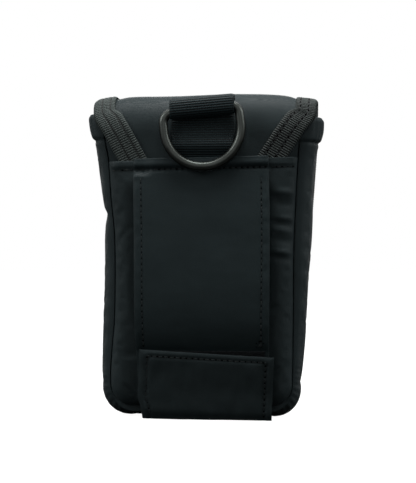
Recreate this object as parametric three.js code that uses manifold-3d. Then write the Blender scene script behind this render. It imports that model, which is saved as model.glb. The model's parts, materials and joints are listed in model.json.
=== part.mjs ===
// A padded belt pouch for a phone, as the separate pieces that it is sewn from.
// Millimetres. +Z is up, +Y is the back with the belt strap, -Y the front with the fall of the flap.
// The origin is on the base, under the middle of the pocket.

import * as THREE from "three";
import { mergeVertices } from "three/addons/utils/BufferGeometryUtils.js";
import Module from "manifold-3d";

const wasm = await Module();
wasm.setup();

// Thickness of each layer, and the clearance between neighbours
const GAP = 0.3;
const LINING = 0.6;
const FOAM = 2.8;
const BACK_SHELL = 0.9;
const BACK_PAD = 3.8;
const FRONT_PAD = 3.3;
const FLAP_CLOTH = 1;
const STRAP_CLOTH = 1;
const TAB_CLOTH = 1.2;
const ANCHOR_CLOTH = 1;
const TAPE = 0.5;
const WEBBING = 1.4;
const FASTENER = 0.8;

// Pocket that holds the phone, and the height of its mouth above the base
const POCKET_WIDTH = 76.4;
const POCKET_DEPTH = 16;
const POCKET_CORNER = 5;
const MOUTH_HEIGHT = 124;

// Gusset: its wall at the seam, how far it puffs out past the seam, and its flared top ends
const GUSSET_WALL = 1.2;
const GUSSET_PUFF = 2.2;
const GUSSET_ROUND = 3;
const SHOULDER_DROP = 23;
const SHOULDER_SPREAD = 2.3;
const EAR_ROOT_DROP = 5;
const EAR_RISE = 11.6;
const EAR_SPREAD = 7.7;
const EAR_WALL = 2.6;
const EAR_LIP = 5;

// Panels
const SEAM_LAP = 0.5;
const SHELL_RISE = 7;
const FOAM_DROP = 2;
const HEM_DROP = 8.5;
const BACK_RISE = 1.9;
const BACK_TAPER = 1.3;
const BACK_CORNER = 8.5;
const PANEL_CORNER = 9;
const PUFF_INSET = 3;

// Flap: neck, roll over the top, front fall
const NECK_LIFT = 0.4;
const NECK_WIDTH = 75;
const NECK_SLOPE = 0.5625;
const FLAP_WIDTH = 102;
const FLAP_END_WIDTH = 95;
const FLAP_RISE = 22;
const FLAP_REACH = 44;
const FLAP_CORNER = 14;
const ROLL_RADIUS = 12;
const ROLL_DROOP = 3.5;
const DROOP_WIDTH = 13;
const NECK_END_ANGLE = THREE.MathUtils.degToRad(65);
const FALL_HINGE_DROP = 1;
const HINGE_CLEARANCE = 0.1;
const TAPE_WIDTH = 10;

// Closure of the flap, and binding of the mouth
const CLOSURE_WIDTH = 50;
const CLOSURE_HEIGHT = 20;
const CLOSURE_MARGIN = 2;
const MOUTH_TAPE_WIDTH = 8;

// Ring, and the webbing that holds it
const WIRE = 4;
const RING_INSIDE = 30.5;
const RING_DROP = 24.8;
const RING_CORNER = 3;
const WEBBING_WIDTH = 29.4;
const WEBBING_END_ANGLE = THREE.MathUtils.degToRad(45);
const KEEPER_TOP_ANGLE = THREE.MathUtils.degToRad(42);
const KEEPER_END_ANGLE = THREE.MathUtils.degToRad(-115);
const KEEPER_CLOTH = 1.2;

// Belt strap and the tab that closes over its end
const STRAP_WIDTH = 60;
const STRAP_HEAD_RISE = 0.9;
const STRAP_BEND_DROP = 4.6;
const STRAP_END = 12;
const STRAP_BOW = 6.5;
const STRAP_STANDOFF = 0.8;
const STRAP_LINING_DROP = 5;
const LAP_TOP = 31;
const LAP_LEAN = THREE.MathUtils.degToRad(6.9);
const TAB_WIDTH = 59.4;
const TAB_TOP = 30.5;
const TAB_SHIFT = -2.6;
const TAB_FOLD = 0.4;
const TAB_FOOT = 0.9;
const ANCHOR_MARGIN = 1.2;
const EDGE_MARGIN = 1;
const PATCH_MARGIN = 4;
const PATCH_FOOT = 0.5;

// How far a cutting shape runs past what it cuts, and the least step between two rows of a sheet
const CUT_PAST = 5;
const LEAST_STEP = 0.4;

// Heights that follow the mouth of the pocket
const SHOULDER_HEIGHT = MOUTH_HEIGHT - SHOULDER_DROP;
const EAR_ROOT = MOUTH_HEIGHT - EAR_ROOT_DROP;
const EAR_HEIGHT = MOUTH_HEIGHT + EAR_RISE;
const BACK_SHELL_HEIGHT = MOUTH_HEIGHT + SHELL_RISE;
const HEM_HEIGHT = MOUTH_HEIGHT - HEM_DROP;
const FLAP_TOP = MOUTH_HEIGHT + FLAP_RISE;
const FLAP_END_HEIGHT = MOUTH_HEIGHT - FLAP_REACH;
const STRAP_HINGE_HEIGHT = HEM_HEIGHT - STRAP_BEND_DROP;
const RING_HEIGHT = STRAP_HINGE_HEIGHT + RING_DROP + WIRE / 2;

// Layers counted outwards from the pocket
const LINING_IN = POCKET_WIDTH / 2;
const FOAM_IN = LINING_IN + LINING + GAP;
const SHELL_IN = FOAM_IN + FOAM + GAP;
const HALF_BODY = SHELL_IN + GUSSET_WALL + GUSSET_PUFF;
const POCKET_FLOOR = HALF_BODY - LINING_IN;
const BODY_CORNER = POCKET_CORNER + POCKET_FLOOR;
const LINING_Y = POCKET_DEPTH / 2 + GAP;
const FOAM_Y = LINING_Y + LINING + GAP;
const HALF_DEPTH = FOAM_Y + FOAM;
const BACK_SHELL_Y = HALF_DEPTH + GAP;
const BACK_Y = BACK_SHELL_Y + BACK_SHELL + GAP;
const BACK_FACE = BACK_Y + BACK_PAD;
const FRONT_Y = -HALF_DEPTH - GAP;
const FRONT_FACE = FRONT_Y - FRONT_PAD;

// Flap: the outer face of its cloth at the back and at the front, and lengths along the cloth
const NECK_FACE = BACK_Y + TAPE + GAP + FLAP_CLOTH;
const LOOP_FACE = FRONT_FACE - GAP - FASTENER;
const HOOK_FACE = LOOP_FACE - GAP - FASTENER;
const FALL_FACE = HOOK_FACE - GAP - LINING - GAP - FLAP_CLOTH;
const NECK_FOOT = HEM_HEIGHT + NECK_LIFT;
const ROLL_BASE = FLAP_TOP - ROLL_RADIUS;
const QUARTER_ROLL = (ROLL_RADIUS * Math.PI) / 2;
const ROLL_START = ROLL_BASE - NECK_FOOT;
const TOP_START = ROLL_START + QUARTER_ROLL;
const TOP_END = TOP_START + NECK_FACE - FALL_FACE - 2 * ROLL_RADIUS;
const FALL_START = TOP_END + QUARTER_ROLL;
const FLAP_END = FALL_START + ROLL_BASE - FLAP_END_HEIGHT;
const NECK_END = ROLL_START + ROLL_RADIUS * NECK_END_ANGLE;
const FALL_SPLIT = FALL_START + FALL_HINGE_DROP;
const EDGE_TAPE = GAP + TAPE;
const FLAP_LAYERS = FLAP_CLOTH + GAP + LINING;
const BACK_ROLL_Y = NECK_FACE - ROLL_RADIUS;
const CLOSURE_BASE = FLAP_END_HEIGHT + TAPE_WIDTH + CLOSURE_MARGIN;

// Points that the moving pieces turn about
const HINGE_RADIUS = ROLL_RADIUS + EDGE_TAPE + HINGE_CLEARANCE;
const FLAP_HINGE = new THREE.Vector3(
  0,
  BACK_ROLL_Y + HINGE_RADIUS * Math.cos(NECK_END_ANGLE),
  ROLL_BASE + HINGE_RADIUS * Math.sin(NECK_END_ANGLE),
);
const FALL_HINGE = new THREE.Vector3(
  0,
  FALL_FACE - EDGE_TAPE - HINGE_CLEARANCE,
  ROLL_BASE - FALL_HINGE_DROP,
);
const BAR_RADIUS = ROLL_RADIUS + GAP + WEBBING + GAP + WIRE / 2;
const RING_HINGE = new THREE.Vector3(
  0,
  BACK_ROLL_Y + Math.sqrt(BAR_RADIUS ** 2 - (RING_HEIGHT - ROLL_BASE) ** 2),
  RING_HEIGHT,
);
const HEAD_FACE = BACK_FACE + GAP + STRAP_CLOTH;
const STRAP_HINGE = new THREE.Vector3(0, HEAD_FACE, STRAP_HINGE_HEIGHT);
const TAB_STACK = STRAP_CLOTH + 3 * GAP + 2 * FASTENER;
const TAB_HINGE = new THREE.Vector3(
  0,
  strapBack(TAB_FOLD) + TAB_STACK + TAB_CLOTH / 2,
  TAB_FOLD,
);

function finish(color, roughness, metalness = 0) {
  return new THREE.MeshStandardMaterial({ color, roughness, metalness });
}

const nylon = () => finish(0x1d2022, 0.55);
const liningCloth = () => finish(0x23272a, 0.75);
const foamSheet = () => finish(0x33363a, 0.95);
const ribbedTape = () => finish(0x161819, 0.7);
const wovenWebbing = () => finish(0x17191b, 0.75);
const fastener = () => finish(0x121314, 0.9);
const darkMetal = () => finish(0x3c3f41, 0.35, 1);

function piece(name, geometry, material) {
  const mesh = new THREE.Mesh(geometry, material);
  mesh.name = name;
  return mesh;
}

// A group that turns about its pivot; its pieces are built in the pouch's own frame
function hinged(pivot, pieces) {
  const body = new THREE.Group();
  body.position.copy(pivot);
  for (const mesh of pieces) {
    mesh.position.sub(pivot);
    body.add(mesh);
  }
  return body;
}

function solidFrom(geometry) {
  const bare = geometry.clone();
  bare.deleteAttribute("normal");
  bare.deleteAttribute("uv");
  const merged = mergeVertices(bare, 1e-4);
  return new wasm.Manifold(
    new wasm.Mesh({
      numProp: 3,
      vertProperties: merged.attributes.position.array,
      triVerts: new Uint32Array(merged.index.array),
    }),
  );
}

function geometryFrom(solid) {
  const mesh = solid.getMesh();
  const geometry = new THREE.BufferGeometry();
  geometry.setAttribute("position", new THREE.BufferAttribute(mesh.vertProperties, 3));
  geometry.setIndex(new THREE.BufferAttribute(mesh.triVerts, 1));
  geometry.computeVertexNormals();
  return geometry;
}

// A shape in the plane of X and Z, given a thickness along Y from back to front
function slab(shape, back, front, rounding = 0, inset = 0) {
  const thickness = Math.abs(back - front);
  const geometry = new THREE.ExtrudeGeometry(shape, {
    depth: thickness - 2 * rounding,
    bevelEnabled: rounding > 0,
    bevelThickness: rounding,
    bevelSize: inset,
    bevelOffset: -inset,
    bevelSegments: 3,
    curveSegments: 6,
  });
  geometry.rotateX(Math.PI / 2);
  geometry.translate(0, Math.max(back, front) - rounding, 0);
  return geometry;
}

// A shape in the plane of Y and Z, extruded along X about a middle
function bar(shape, width, middle = 0) {
  const geometry = new THREE.ExtrudeGeometry(shape, {
    depth: width,
    bevelEnabled: false,
    curveSegments: 8,
  });
  geometry.rotateY(Math.PI / 2);
  geometry.rotateX(Math.PI / 2);
  geometry.translate(middle - width / 2, 0, 0);
  return geometry;
}

function cornerArc(x, z, radius, from, to, steps = 6) {
  return Array.from({ length: steps + 1 }, (_, i) => {
    const angle = from + ((to - from) * i) / steps;
    return new THREE.Vector2(x + radius * Math.cos(angle), z + radius * Math.sin(angle));
  });
}

// Line down one side, round the two lower corners and up the other side
function cradle(half, base, radius, top, taper = 0) {
  const foot = half - taper;
  return [
    new THREE.Vector2(-half, top),
    ...cornerArc(-foot + radius, base + radius, radius, Math.PI, 1.5 * Math.PI),
    ...cornerArc(foot - radius, base + radius, radius, 1.5 * Math.PI, 2 * Math.PI),
    new THREE.Vector2(half, top),
  ];
}

function bodyLine(inset, top) {
  return cradle(HALF_BODY - inset, inset, BODY_CORNER - inset, top);
}

function strip(outer, inner) {
  return new THREE.Shape([...outer, ...inner.reverse()]);
}

// Outline of the gusset seen from behind, with its shoulders and ears, drawn in by an inset
function gussetShape(inset, wall, top) {
  const side = [
    [HALF_BODY - inset, BODY_CORNER + inset],
    [HALF_BODY + SHOULDER_SPREAD - inset, SHOULDER_HEIGHT],
    [HALF_BODY + (SHOULDER_SPREAD + EAR_SPREAD) / 2 - wall, EAR_ROOT],
    [HALF_BODY + EAR_SPREAD - wall, EAR_HEIGHT - EAR_LIP],
  ].map(([x, z]) => new THREE.Vector2(x, z));
  const right = new THREE.SplineCurve(side).getPoints(10);
  right.push(new THREE.Vector2(HALF_BODY + EAR_SPREAD - wall, top));
  const left = right.map((p) => new THREE.Vector2(-p.x, p.y)).reverse();
  const bottom = bodyLine(inset, top).slice(1, -1);
  return new THREE.Shape([...left, ...bottom, ...right]);
}

function gusset() {
  const outside = slab(
    gussetShape(0, 0, EAR_HEIGHT),
    HALF_DEPTH,
    -HALF_DEPTH,
    GUSSET_ROUND,
    GUSSET_PUFF,
  );
  const inset = GUSSET_WALL + GUSSET_PUFF;
  const inside = slab(
    gussetShape(inset, EAR_WALL + GUSSET_PUFF / 2, EAR_HEIGHT + CUT_PAST),
    HALF_DEPTH + CUT_PAST,
    -HALF_DEPTH - CUT_PAST,
  );
  return geometryFrom(solidFrom(outside).subtract(solidFrom(inside)));
}

// Height lost by the roll towards its two ends
function droop(x) {
  const along = (Math.abs(x) - FLAP_WIDTH / 2 + DROOP_WIDTH) / DROOP_WIDTH;
  if (along <= 0) return 0;
  return ROLL_DROOP * Math.min(along, 1) ** 2;
}

// Outer face of the flap's cloth at width x and at length s from the foot of the neck
function flapFace(x, s) {
  const height = ROLL_RADIUS - droop(x);
  if (s < ROLL_START) return new THREE.Vector3(x, NECK_FACE, NECK_FOOT + s);
  if (s < TOP_START) {
    const angle = (s - ROLL_START) / ROLL_RADIUS;
    return new THREE.Vector3(
      x,
      BACK_ROLL_Y + ROLL_RADIUS * Math.cos(angle),
      ROLL_BASE + height * Math.sin(angle),
    );
  }
  if (s < TOP_END) {
    return new THREE.Vector3(x, BACK_ROLL_Y - (s - TOP_START), ROLL_BASE + height);
  }
  if (s < FALL_START) {
    const angle = (s - TOP_END) / ROLL_RADIUS;
    return new THREE.Vector3(
      x,
      FALL_FACE + ROLL_RADIUS * (1 - Math.sin(angle)),
      ROLL_BASE + height * Math.cos(angle),
    );
  }
  return new THREE.Vector3(x, FALL_FACE, ROLL_BASE - (s - FALL_START));
}

// A point at a height above a face, along the face's own outward direction
function lifted(face, u, v, height) {
  const step = 1e-3;
  const across = face(u + step, v).sub(face(u - step, v));
  const along = face(u, v + step).sub(face(u, v - step));
  const outward = along.cross(across).normalize();
  return face(u, v).addScaledVector(outward, height);
}

// Half width of the flap's cloth at length s: slanted neck, straight top, front fall with round corners
function flapHalf(s) {
  const slanted = NECK_WIDTH / 2 + NECK_SLOPE * s;
  if (s < FALL_START) return Math.min(slanted, FLAP_WIDTH / 2) - EDGE_TAPE;
  const share = (s - FALL_START) / (FLAP_END - FALL_START);
  const straight = THREE.MathUtils.lerp(FLAP_WIDTH, FLAP_END_WIDTH, share) / 2 - EDGE_TAPE;
  const past = Math.max(0, s - (FLAP_END - FLAP_CORNER));
  return straight - FLAP_CORNER + Math.sqrt(FLAP_CORNER ** 2 - Math.min(past, FLAP_CORNER) ** 2);
}

// A closed solid from a grid of points on its outer side and one on its inner side
function shellFrom(outer, inner) {
  const rows = outer.length;
  const columns = outer[0].length;
  const points = [...outer.flat(), ...inner.flat()];
  const back = rows * columns;
  const index = [];
  const quad = (a, b, c, d) => index.push(a, b, c, a, c, d);
  for (let r = 0; r < rows - 1; r++) {
    for (let c = 0; c < columns - 1; c++) {
      const a = r * columns + c;
      quad(a, a + columns, a + columns + 1, a + 1);
      quad(back + a, back + a + 1, back + a + columns + 1, back + a + columns);
    }
  }
  for (let c = 0; c < columns - 1; c++) {
    const last = (rows - 1) * columns + c;
    quad(c, c + 1, back + c + 1, back + c);
    quad(last + 1, last, back + last, back + last + 1);
  }
  for (let r = 0; r < rows - 1; r++) {
    const left = r * columns;
    const right = left + columns - 1;
    quad(left + columns, left, back + left, back + left + columns);
    quad(right, right + columns, back + right + columns, back + right);
  }
  const geometry = new THREE.BufferGeometry().setFromPoints(points);
  geometry.setIndex(index);
  geometry.computeVertexNormals();
  return geometry;
}

// A sheet of cloth on a face, from one height above it down to another
function sheet(face, across, along, top, bottom) {
  const layer = (height) => along.map((v) => across(v).map((u) => lifted(face, u, v, height)));
  return shellFrom(layer(top), layer(bottom));
}

function spread(from, to, steps) {
  return Array.from({ length: steps + 1 }, (_, i) => from + ((to - from) * i) / steps);
}

// Lengths along the flap, close together where the cloth bends or rounds a corner
function flapRows(from, to) {
  const bends = [
    ...spread(ROLL_START, TOP_START, 8),
    ...spread(TOP_END, FALL_START, 8),
    ...spread(0, Math.PI / 2, 6).map((a) => FLAP_END - FLAP_CORNER * (1 - Math.sin(a))),
  ];
  return [from, ...bends.filter((s) => s > from + LEAST_STEP && s < to - LEAST_STEP), to];
}

function flapCloth(from, to, top, bottom, trim = 0) {
  const across = (s) => {
    const half = flapHalf(s) - trim;
    const middle = FLAP_WIDTH / 2 - DROOP_WIDTH;
    const inner = Math.min(middle, half - LEAST_STEP);
    return [...spread(-half, -inner, 4), 0, ...spread(inner, half, 4)];
  };
  return sheet(flapFace, across, flapRows(from, to), top, bottom);
}

// A tape folded over the flap's edge. Each stop is a place on the edge, as width and length,
// with the direction in which the tape's width runs there.
function edgeTape(stops, layers) {
  const low = -layers - EDGE_TAPE;
  const arm = spread(0, 1, 4);
  const section = [
    ...arm.map((a) => [THREE.MathUtils.lerp(TAPE_WIDTH, -EDGE_TAPE, a), EDGE_TAPE]),
    ...arm.map((a) => [THREE.MathUtils.lerp(-EDGE_TAPE, TAPE_WIDTH, a), low]),
    ...arm.map((a) => [THREE.MathUtils.lerp(TAPE_WIDTH, -GAP, a), low + TAPE]),
    ...arm.map((a) => [THREE.MathUtils.lerp(-GAP, TAPE_WIDTH, a), GAP]),
  ];
  const ring = ({ x, s, inward }) =>
    section.map(([a, height]) => lifted(flapFace, x + a * inward[0], s + a * inward[1], height));
  return tube(stops.map(ring), false);
}

// A closed solid through rings of equally many points, capped at both ends or joined end to end
function tube(rings, joined) {
  const count = rings[0].length;
  const index = [];
  const spans = joined ? rings.length : rings.length - 1;
  for (let r = 0; r < spans; r++) {
    const here = r * count;
    const next = ((r + 1) % rings.length) * count;
    for (let i = 0; i < count; i++) {
      const j = (i + 1) % count;
      index.push(here + i, here + j, next + j, here + i, next + j, next + i);
    }
  }
  if (!joined) index.push(...caps(rings, count));
  const geometry = new THREE.BufferGeometry().setFromPoints(rings.flat());
  geometry.setIndex(index);
  const solid = solidFrom(geometry);
  if (solid.volume() >= 0) return geometryFrom(solid);
  geometry.setIndex(index.reverse());
  return geometryFrom(solidFrom(geometry));
}

function caps(rings, count) {
  const faces = [];
  for (const [at, turned] of [[0, true], [rings.length - 1, false]]) {
    for (const [a, b, c] of capFaces(rings[at])) {
      const face = [at * count + a, at * count + b, at * count + c];
      faces.push(...(turned ? face.reverse() : face));
    }
  }
  return faces;
}

// Triangles that fill a flat ring, in the ring's own turning sense
function capFaces(ring) {
  const origin = ring[0];
  const normal = new THREE.Vector3();
  for (let i = 1; i < ring.length - 1; i++) {
    normal.add(ring[i].clone().sub(origin).cross(ring[i + 1].clone().sub(origin)));
  }
  normal.normalize();
  const right = ring[1].clone().sub(origin).normalize();
  const up = normal.clone().cross(right);
  const flat = ring.map((p) => {
    const from = p.clone().sub(origin);
    return new THREE.Vector2(from.dot(right), from.dot(up));
  });
  return THREE.ShapeUtils.triangulateShape(flat, []);
}

// Stops of a tape along one side of the neck, mitred where the slanted edge turns into the straight one
function neckStops(side, to) {
  const slope = new THREE.Vector2(NECK_SLOPE, 1).normalize();
  const corner = (FLAP_WIDTH - NECK_WIDTH) / 2 / NECK_SLOPE;
  const miter = slope.x / (1 + slope.y);
  return [...spread(0, corner, 6), ...spread(corner, to, 4).slice(1)].map((s) => {
    const share = Math.min(1, s / corner);
    const reach = THREE.MathUtils.lerp(1 / slope.y, 1, share);
    const rise = s > corner ? 0 : miter * share;
    return { x: side * flapHalf(s), s, inward: [-side * reach, rise] };
  });
}

// Stops of a tape along one straight side of the flap
function topStops(side, from, to) {
  return flapRows(from, to).map((s) => ({ x: side * flapHalf(s), s, inward: [-side, 0] }));
}

// Stops of the tape round the front fall: down one side, along the lower edge, up the other
function fallStops(from) {
  const side = [];
  for (const s of flapRows(from, FLAP_END)) {
    const step = 0.05;
    const at = Math.min(s, FLAP_END - step);
    const widthStep = flapHalf(at + step) - flapHalf(at - step);
    const inward = new THREE.Vector2(-2 * step, widthStep).normalize();
    side.push({ x: flapHalf(s), s, inward: [inward.x, inward.y] });
  }
  side[0].inward = [-1, 0];
  side[side.length - 1].inward = [0, -1];
  const other = side.map(({ x, s, inward }) => ({ x: -x, s, inward: [-inward[0], inward[1]] }));
  return [...side, ...other.reverse()];
}

// Distance of the strap's back from the middle of the pouch, at a height
function strapBack(z) {
  const end = BACK_FACE + STRAP_STANDOFF + LINING + GAP;
  const lapTop = end + (LAP_TOP - STRAP_END) * Math.tan(LAP_LEAN);
  if (z < LAP_TOP) return lapTop - (LAP_TOP - z) * Math.tan(LAP_LEAN);
  const share = Math.min(1, (STRAP_HINGE_HEIGHT - z) / (STRAP_HINGE_HEIGHT - LAP_TOP));
  const straight = THREE.MathUtils.lerp(BACK_FACE + GAP, lapTop, share);
  return straight + STRAP_BOW * Math.sin(Math.PI * share);
}

const strapFace = (x, z) => new THREE.Vector3(x, strapBack(z), z);

function strapSheet(width, low, high, inner, outer, middle = 0) {
  const across = () => spread(middle - width / 2, middle + width / 2, 2);
  const bends = spread(LAP_TOP, STRAP_HINGE_HEIGHT, 14);
  const along = [low, ...bends.filter((z) => z > low + LEAST_STEP && z < high - LEAST_STEP), high];
  return sheet(strapFace, across, along, outer, inner);
}

// Centre line of the ring's wire, in the ring's own plane: bar, corners, sides and round end
function ringLine() {
  const half = (RING_INSIDE + WIRE) / 2;
  const corner = (x, from, to) =>
    cornerArc(x, -RING_CORNER, RING_CORNER, from, to, 4);
  return [
    ...corner(half - RING_CORNER, Math.PI / 2, 0),
    ...cornerArc(0, half - RING_DROP, half, 0, -Math.PI, 18),
    ...corner(RING_CORNER - half, Math.PI, Math.PI / 2),
  ];
}

function ring() {
  const lean = Math.atan2(
    HEAD_FACE + GAP + WIRE / 2 - RING_HINGE.y,
    RING_HEIGHT - HEM_HEIGHT - STRAP_HEAD_RISE,
  );
  const line = ringLine();
  const rings = line.map((p, i) => {
    const before = line[(i + line.length - 1) % line.length];
    const after = line[(i + 1) % line.length];
    const forward = after.clone().sub(before).normalize();
    return spread(0, 2 * Math.PI, 10).slice(1).map((angle) => {
      const out = (WIRE / 2) * Math.cos(angle);
      return new THREE.Vector3(
        p.x - forward.y * out,
        (WIRE / 2) * Math.sin(angle),
        p.y + forward.x * out,
      );
    });
  });
  const geometry = tube(rings, true);
  geometry.rotateX(lean);
  geometry.translate(0, RING_HINGE.y, RING_HINGE.z);
  return geometry;
}

// Webbing that comes down from the roll, passes round the bar and ends on the strip below it
function keeper() {
  const middle = WIRE / 2 + GAP + KEEPER_CLOTH / 2;
  const top = ROLL_RADIUS + GAP + WEBBING + GAP + KEEPER_CLOTH / 2;
  const start = new THREE.Vector2(
    BACK_ROLL_Y + top * Math.cos(KEEPER_TOP_ANGLE),
    ROLL_BASE + top * Math.sin(KEEPER_TOP_ANGLE),
  );
  const hub = new THREE.Vector2(RING_HINGE.y, RING_HINGE.z);
  const reach = hub.clone().sub(start);
  const tangent = reach.angle() - 2 * Math.PI + Math.asin(middle / reach.length());
  const line = [
    { at: start, out: tangent + Math.PI / 2 },
    ...spread(tangent + Math.PI / 2, KEEPER_END_ANGLE, 12).map((out) => ({
      at: hub.clone().add(new THREE.Vector2(Math.cos(out), Math.sin(out)).multiplyScalar(middle)),
      out,
    })),
  ];
  const side = (sign) =>
    line.map(({ at, out }) =>
      new THREE.Vector2(Math.cos(out), Math.sin(out))
        .multiplyScalar((sign * KEEPER_CLOTH) / 2)
        .add(at),
    );
  return bar(new THREE.Shape([...side(1), ...side(-1).reverse()]), WEBBING_WIDTH);
}

// Strip that ties the tab to the bottom seam, from under the back panel down to the fold
function anchor() {
  const seam = new THREE.Vector2(
    HALF_DEPTH + ANCHOR_MARGIN,
    GUSSET_WALL + GUSSET_PUFF + BACK_RISE - SEAM_LAP - GAP - ANCHOR_CLOTH,
  );
  const bend = new THREE.Vector2(BACK_FACE, seam.y);
  const fold = new THREE.Vector2(TAB_HINGE.y - ANCHOR_MARGIN, 0);
  return bar(
    new THREE.Shape([
      seam,
      bend,
      fold,
      new THREE.Vector2(fold.x, ANCHOR_CLOTH),
      new THREE.Vector2(bend.x + ANCHOR_CLOTH / 2, bend.y + ANCHOR_CLOTH),
      new THREE.Vector2(seam.x, seam.y + ANCHOR_CLOTH),
    ]),
    TAB_WIDTH - 2 * EDGE_MARGIN,
    TAB_SHIFT,
  );
}

// Binding over the top edge of the front panel, its foam and its lining
function mouthBinding() {
  const outside = FRONT_FACE - GAP;
  const inside = -POCKET_DEPTH / 2;
  const top = MOUTH_HEIGHT + GAP;
  const foot = MOUTH_HEIGHT - MOUTH_TAPE_WIDTH;
  return bar(
    new THREE.Shape(
      [
        [outside - TAPE, foot],
        [outside - TAPE, top + TAPE],
        [inside + TAPE, top + TAPE],
        [inside + TAPE, foot],
        [inside, foot],
        [inside, top],
        [outside, top],
        [outside, foot],
      ].map(([y, z]) => new THREE.Vector2(y, z)),
    ),
    POCKET_WIDTH - 2 * GAP,
  );
}

function rectangle(width, low, high, middle = 0) {
  const left = middle - width / 2;
  const right = middle + width / 2;
  return new THREE.Shape(
    [[left, low], [right, low], [right, high], [left, high]].map(([x, z]) => new THREE.Vector2(x, z)),
  );
}

const panelInset = GUSSET_WALL + GUSSET_PUFF - SEAM_LAP;
const panelHalf = HALF_BODY - panelInset;
const foamInset = HALF_BODY - FOAM_IN;
const liningInset = HALF_BODY - LINING_IN;

const pouch = new THREE.Group();

pouch.add(
  piece("gusset", gusset(), nylon()),
  piece(
    "gusset_foam",
    slab(
      strip(
        bodyLine(foamInset - FOAM, MOUTH_HEIGHT - FOAM_DROP),
        bodyLine(foamInset, MOUTH_HEIGHT - FOAM_DROP),
      ),
      LINING_Y + LINING,
      -LINING_Y - LINING,
    ),
    foamSheet(),
  ),
  piece(
    "gusset_lining",
    slab(
      strip(bodyLine(liningInset - LINING, MOUTH_HEIGHT), bodyLine(liningInset, MOUTH_HEIGHT)),
      POCKET_DEPTH / 2,
      -POCKET_DEPTH / 2,
    ),
    liningCloth(),
  ),
  piece(
    "front_panel",
    slab(
      new THREE.Shape(cradle(panelHalf, panelInset, PANEL_CORNER, MOUTH_HEIGHT)),
      FRONT_Y,
      FRONT_FACE,
      FRONT_PAD / 2 - GAP,
      PUFF_INSET,
    ),
    nylon(),
  ),
  piece(
    "front_foam",
    slab(new THREE.Shape(bodyLine(foamInset - FOAM, MOUTH_HEIGHT)), -FOAM_Y, -FOAM_Y - FOAM),
    foamSheet(),
  ),
  piece(
    "front_lining",
    slab(new THREE.Shape(bodyLine(liningInset - LINING, MOUTH_HEIGHT)), -LINING_Y, -LINING_Y - LINING),
    liningCloth(),
  ),
  piece(
    "back_lining",
    slab(new THREE.Shape(bodyLine(liningInset - LINING, BACK_SHELL_HEIGHT)), LINING_Y, LINING_Y + LINING),
    liningCloth(),
  ),
  piece(
    "back_foam",
    slab(
      new THREE.Shape(bodyLine(foamInset - FOAM, BACK_SHELL_HEIGHT - FOAM_DROP)),
      FOAM_Y,
      FOAM_Y + FOAM,
    ),
    foamSheet(),
  ),
  piece(
    "back_panel",
    slab(
      new THREE.Shape(cradle(panelHalf, panelInset, PANEL_CORNER, BACK_SHELL_HEIGHT)),
      BACK_SHELL_Y,
      BACK_SHELL_Y + BACK_SHELL,
    ),
    nylon(),
  ),
  piece(
    "back_overlay",
    slab(
      new THREE.Shape(cradle(panelHalf, panelInset + BACK_RISE, BACK_CORNER, HEM_HEIGHT, BACK_TAPER)),
      BACK_Y,
      BACK_FACE,
      BACK_PAD / 2 - GAP,
      PUFF_INSET,
    ),
    nylon(),
  ),
  piece("mouth_binding", mouthBinding(), ribbedTape()),
  piece(
    "front_loop_patch",
    slab(
      rectangle(CLOSURE_WIDTH, CLOSURE_BASE, CLOSURE_BASE + CLOSURE_HEIGHT),
      FRONT_FACE - GAP,
      LOOP_FACE,
    ),
    fastener(),
  ),
  piece("flap_neck", flapCloth(0, NECK_END - GAP / 2, 0, -FLAP_CLOTH), nylon()),
  piece(
    "webbing_strip",
    sheet(
      flapFace,
      () => spread(-WEBBING_WIDTH / 2, WEBBING_WIDTH / 2, 2),
      flapRows(0, ROLL_START + ROLL_RADIUS * WEBBING_END_ANGLE),
      GAP + WEBBING,
      GAP,
    ),
    wovenWebbing(),
  ),
  piece("ring_keeper", keeper(), wovenWebbing()),
  piece(
    "strap_head",
    slab(
      rectangle(STRAP_WIDTH, STRAP_HINGE_HEIGHT + GAP / 2, HEM_HEIGHT + STRAP_HEAD_RISE),
      BACK_FACE + GAP,
      HEAD_FACE,
    ),
    nylon(),
  ),
  piece("tab_anchor", anchor(), nylon()),
);

for (const [side, word] of [[1, "left"], [-1, "right"]]) {
  pouch.add(
    piece(
      `neck_tape_${word}`,
      edgeTape(neckStops(side, NECK_END - GAP / 2), FLAP_CLOTH),
      ribbedTape(),
    ),
  );
}

pouch.add(hinged(RING_HINGE, [piece("d_ring", ring(), darkMetal())]));

const flapFall = hinged(FALL_HINGE, [
  piece("flap_front", flapCloth(FALL_SPLIT + GAP / 2, FLAP_END, 0, -FLAP_CLOTH), nylon()),
  piece(
    "flap_front_lining",
    flapCloth(FALL_SPLIT + GAP / 2, FLAP_END, -FLAP_CLOTH - GAP, -FLAP_LAYERS),
    liningCloth(),
  ),
  piece("flap_edge_tape", edgeTape(fallStops(FALL_SPLIT + GAP / 2), FLAP_LAYERS), ribbedTape()),
  piece(
    "flap_hook_patch",
    slab(
      rectangle(CLOSURE_WIDTH, CLOSURE_BASE, CLOSURE_BASE + CLOSURE_HEIGHT),
      HOOK_FACE + FASTENER,
      HOOK_FACE,
    ),
    fastener(),
  ),
]);

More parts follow.
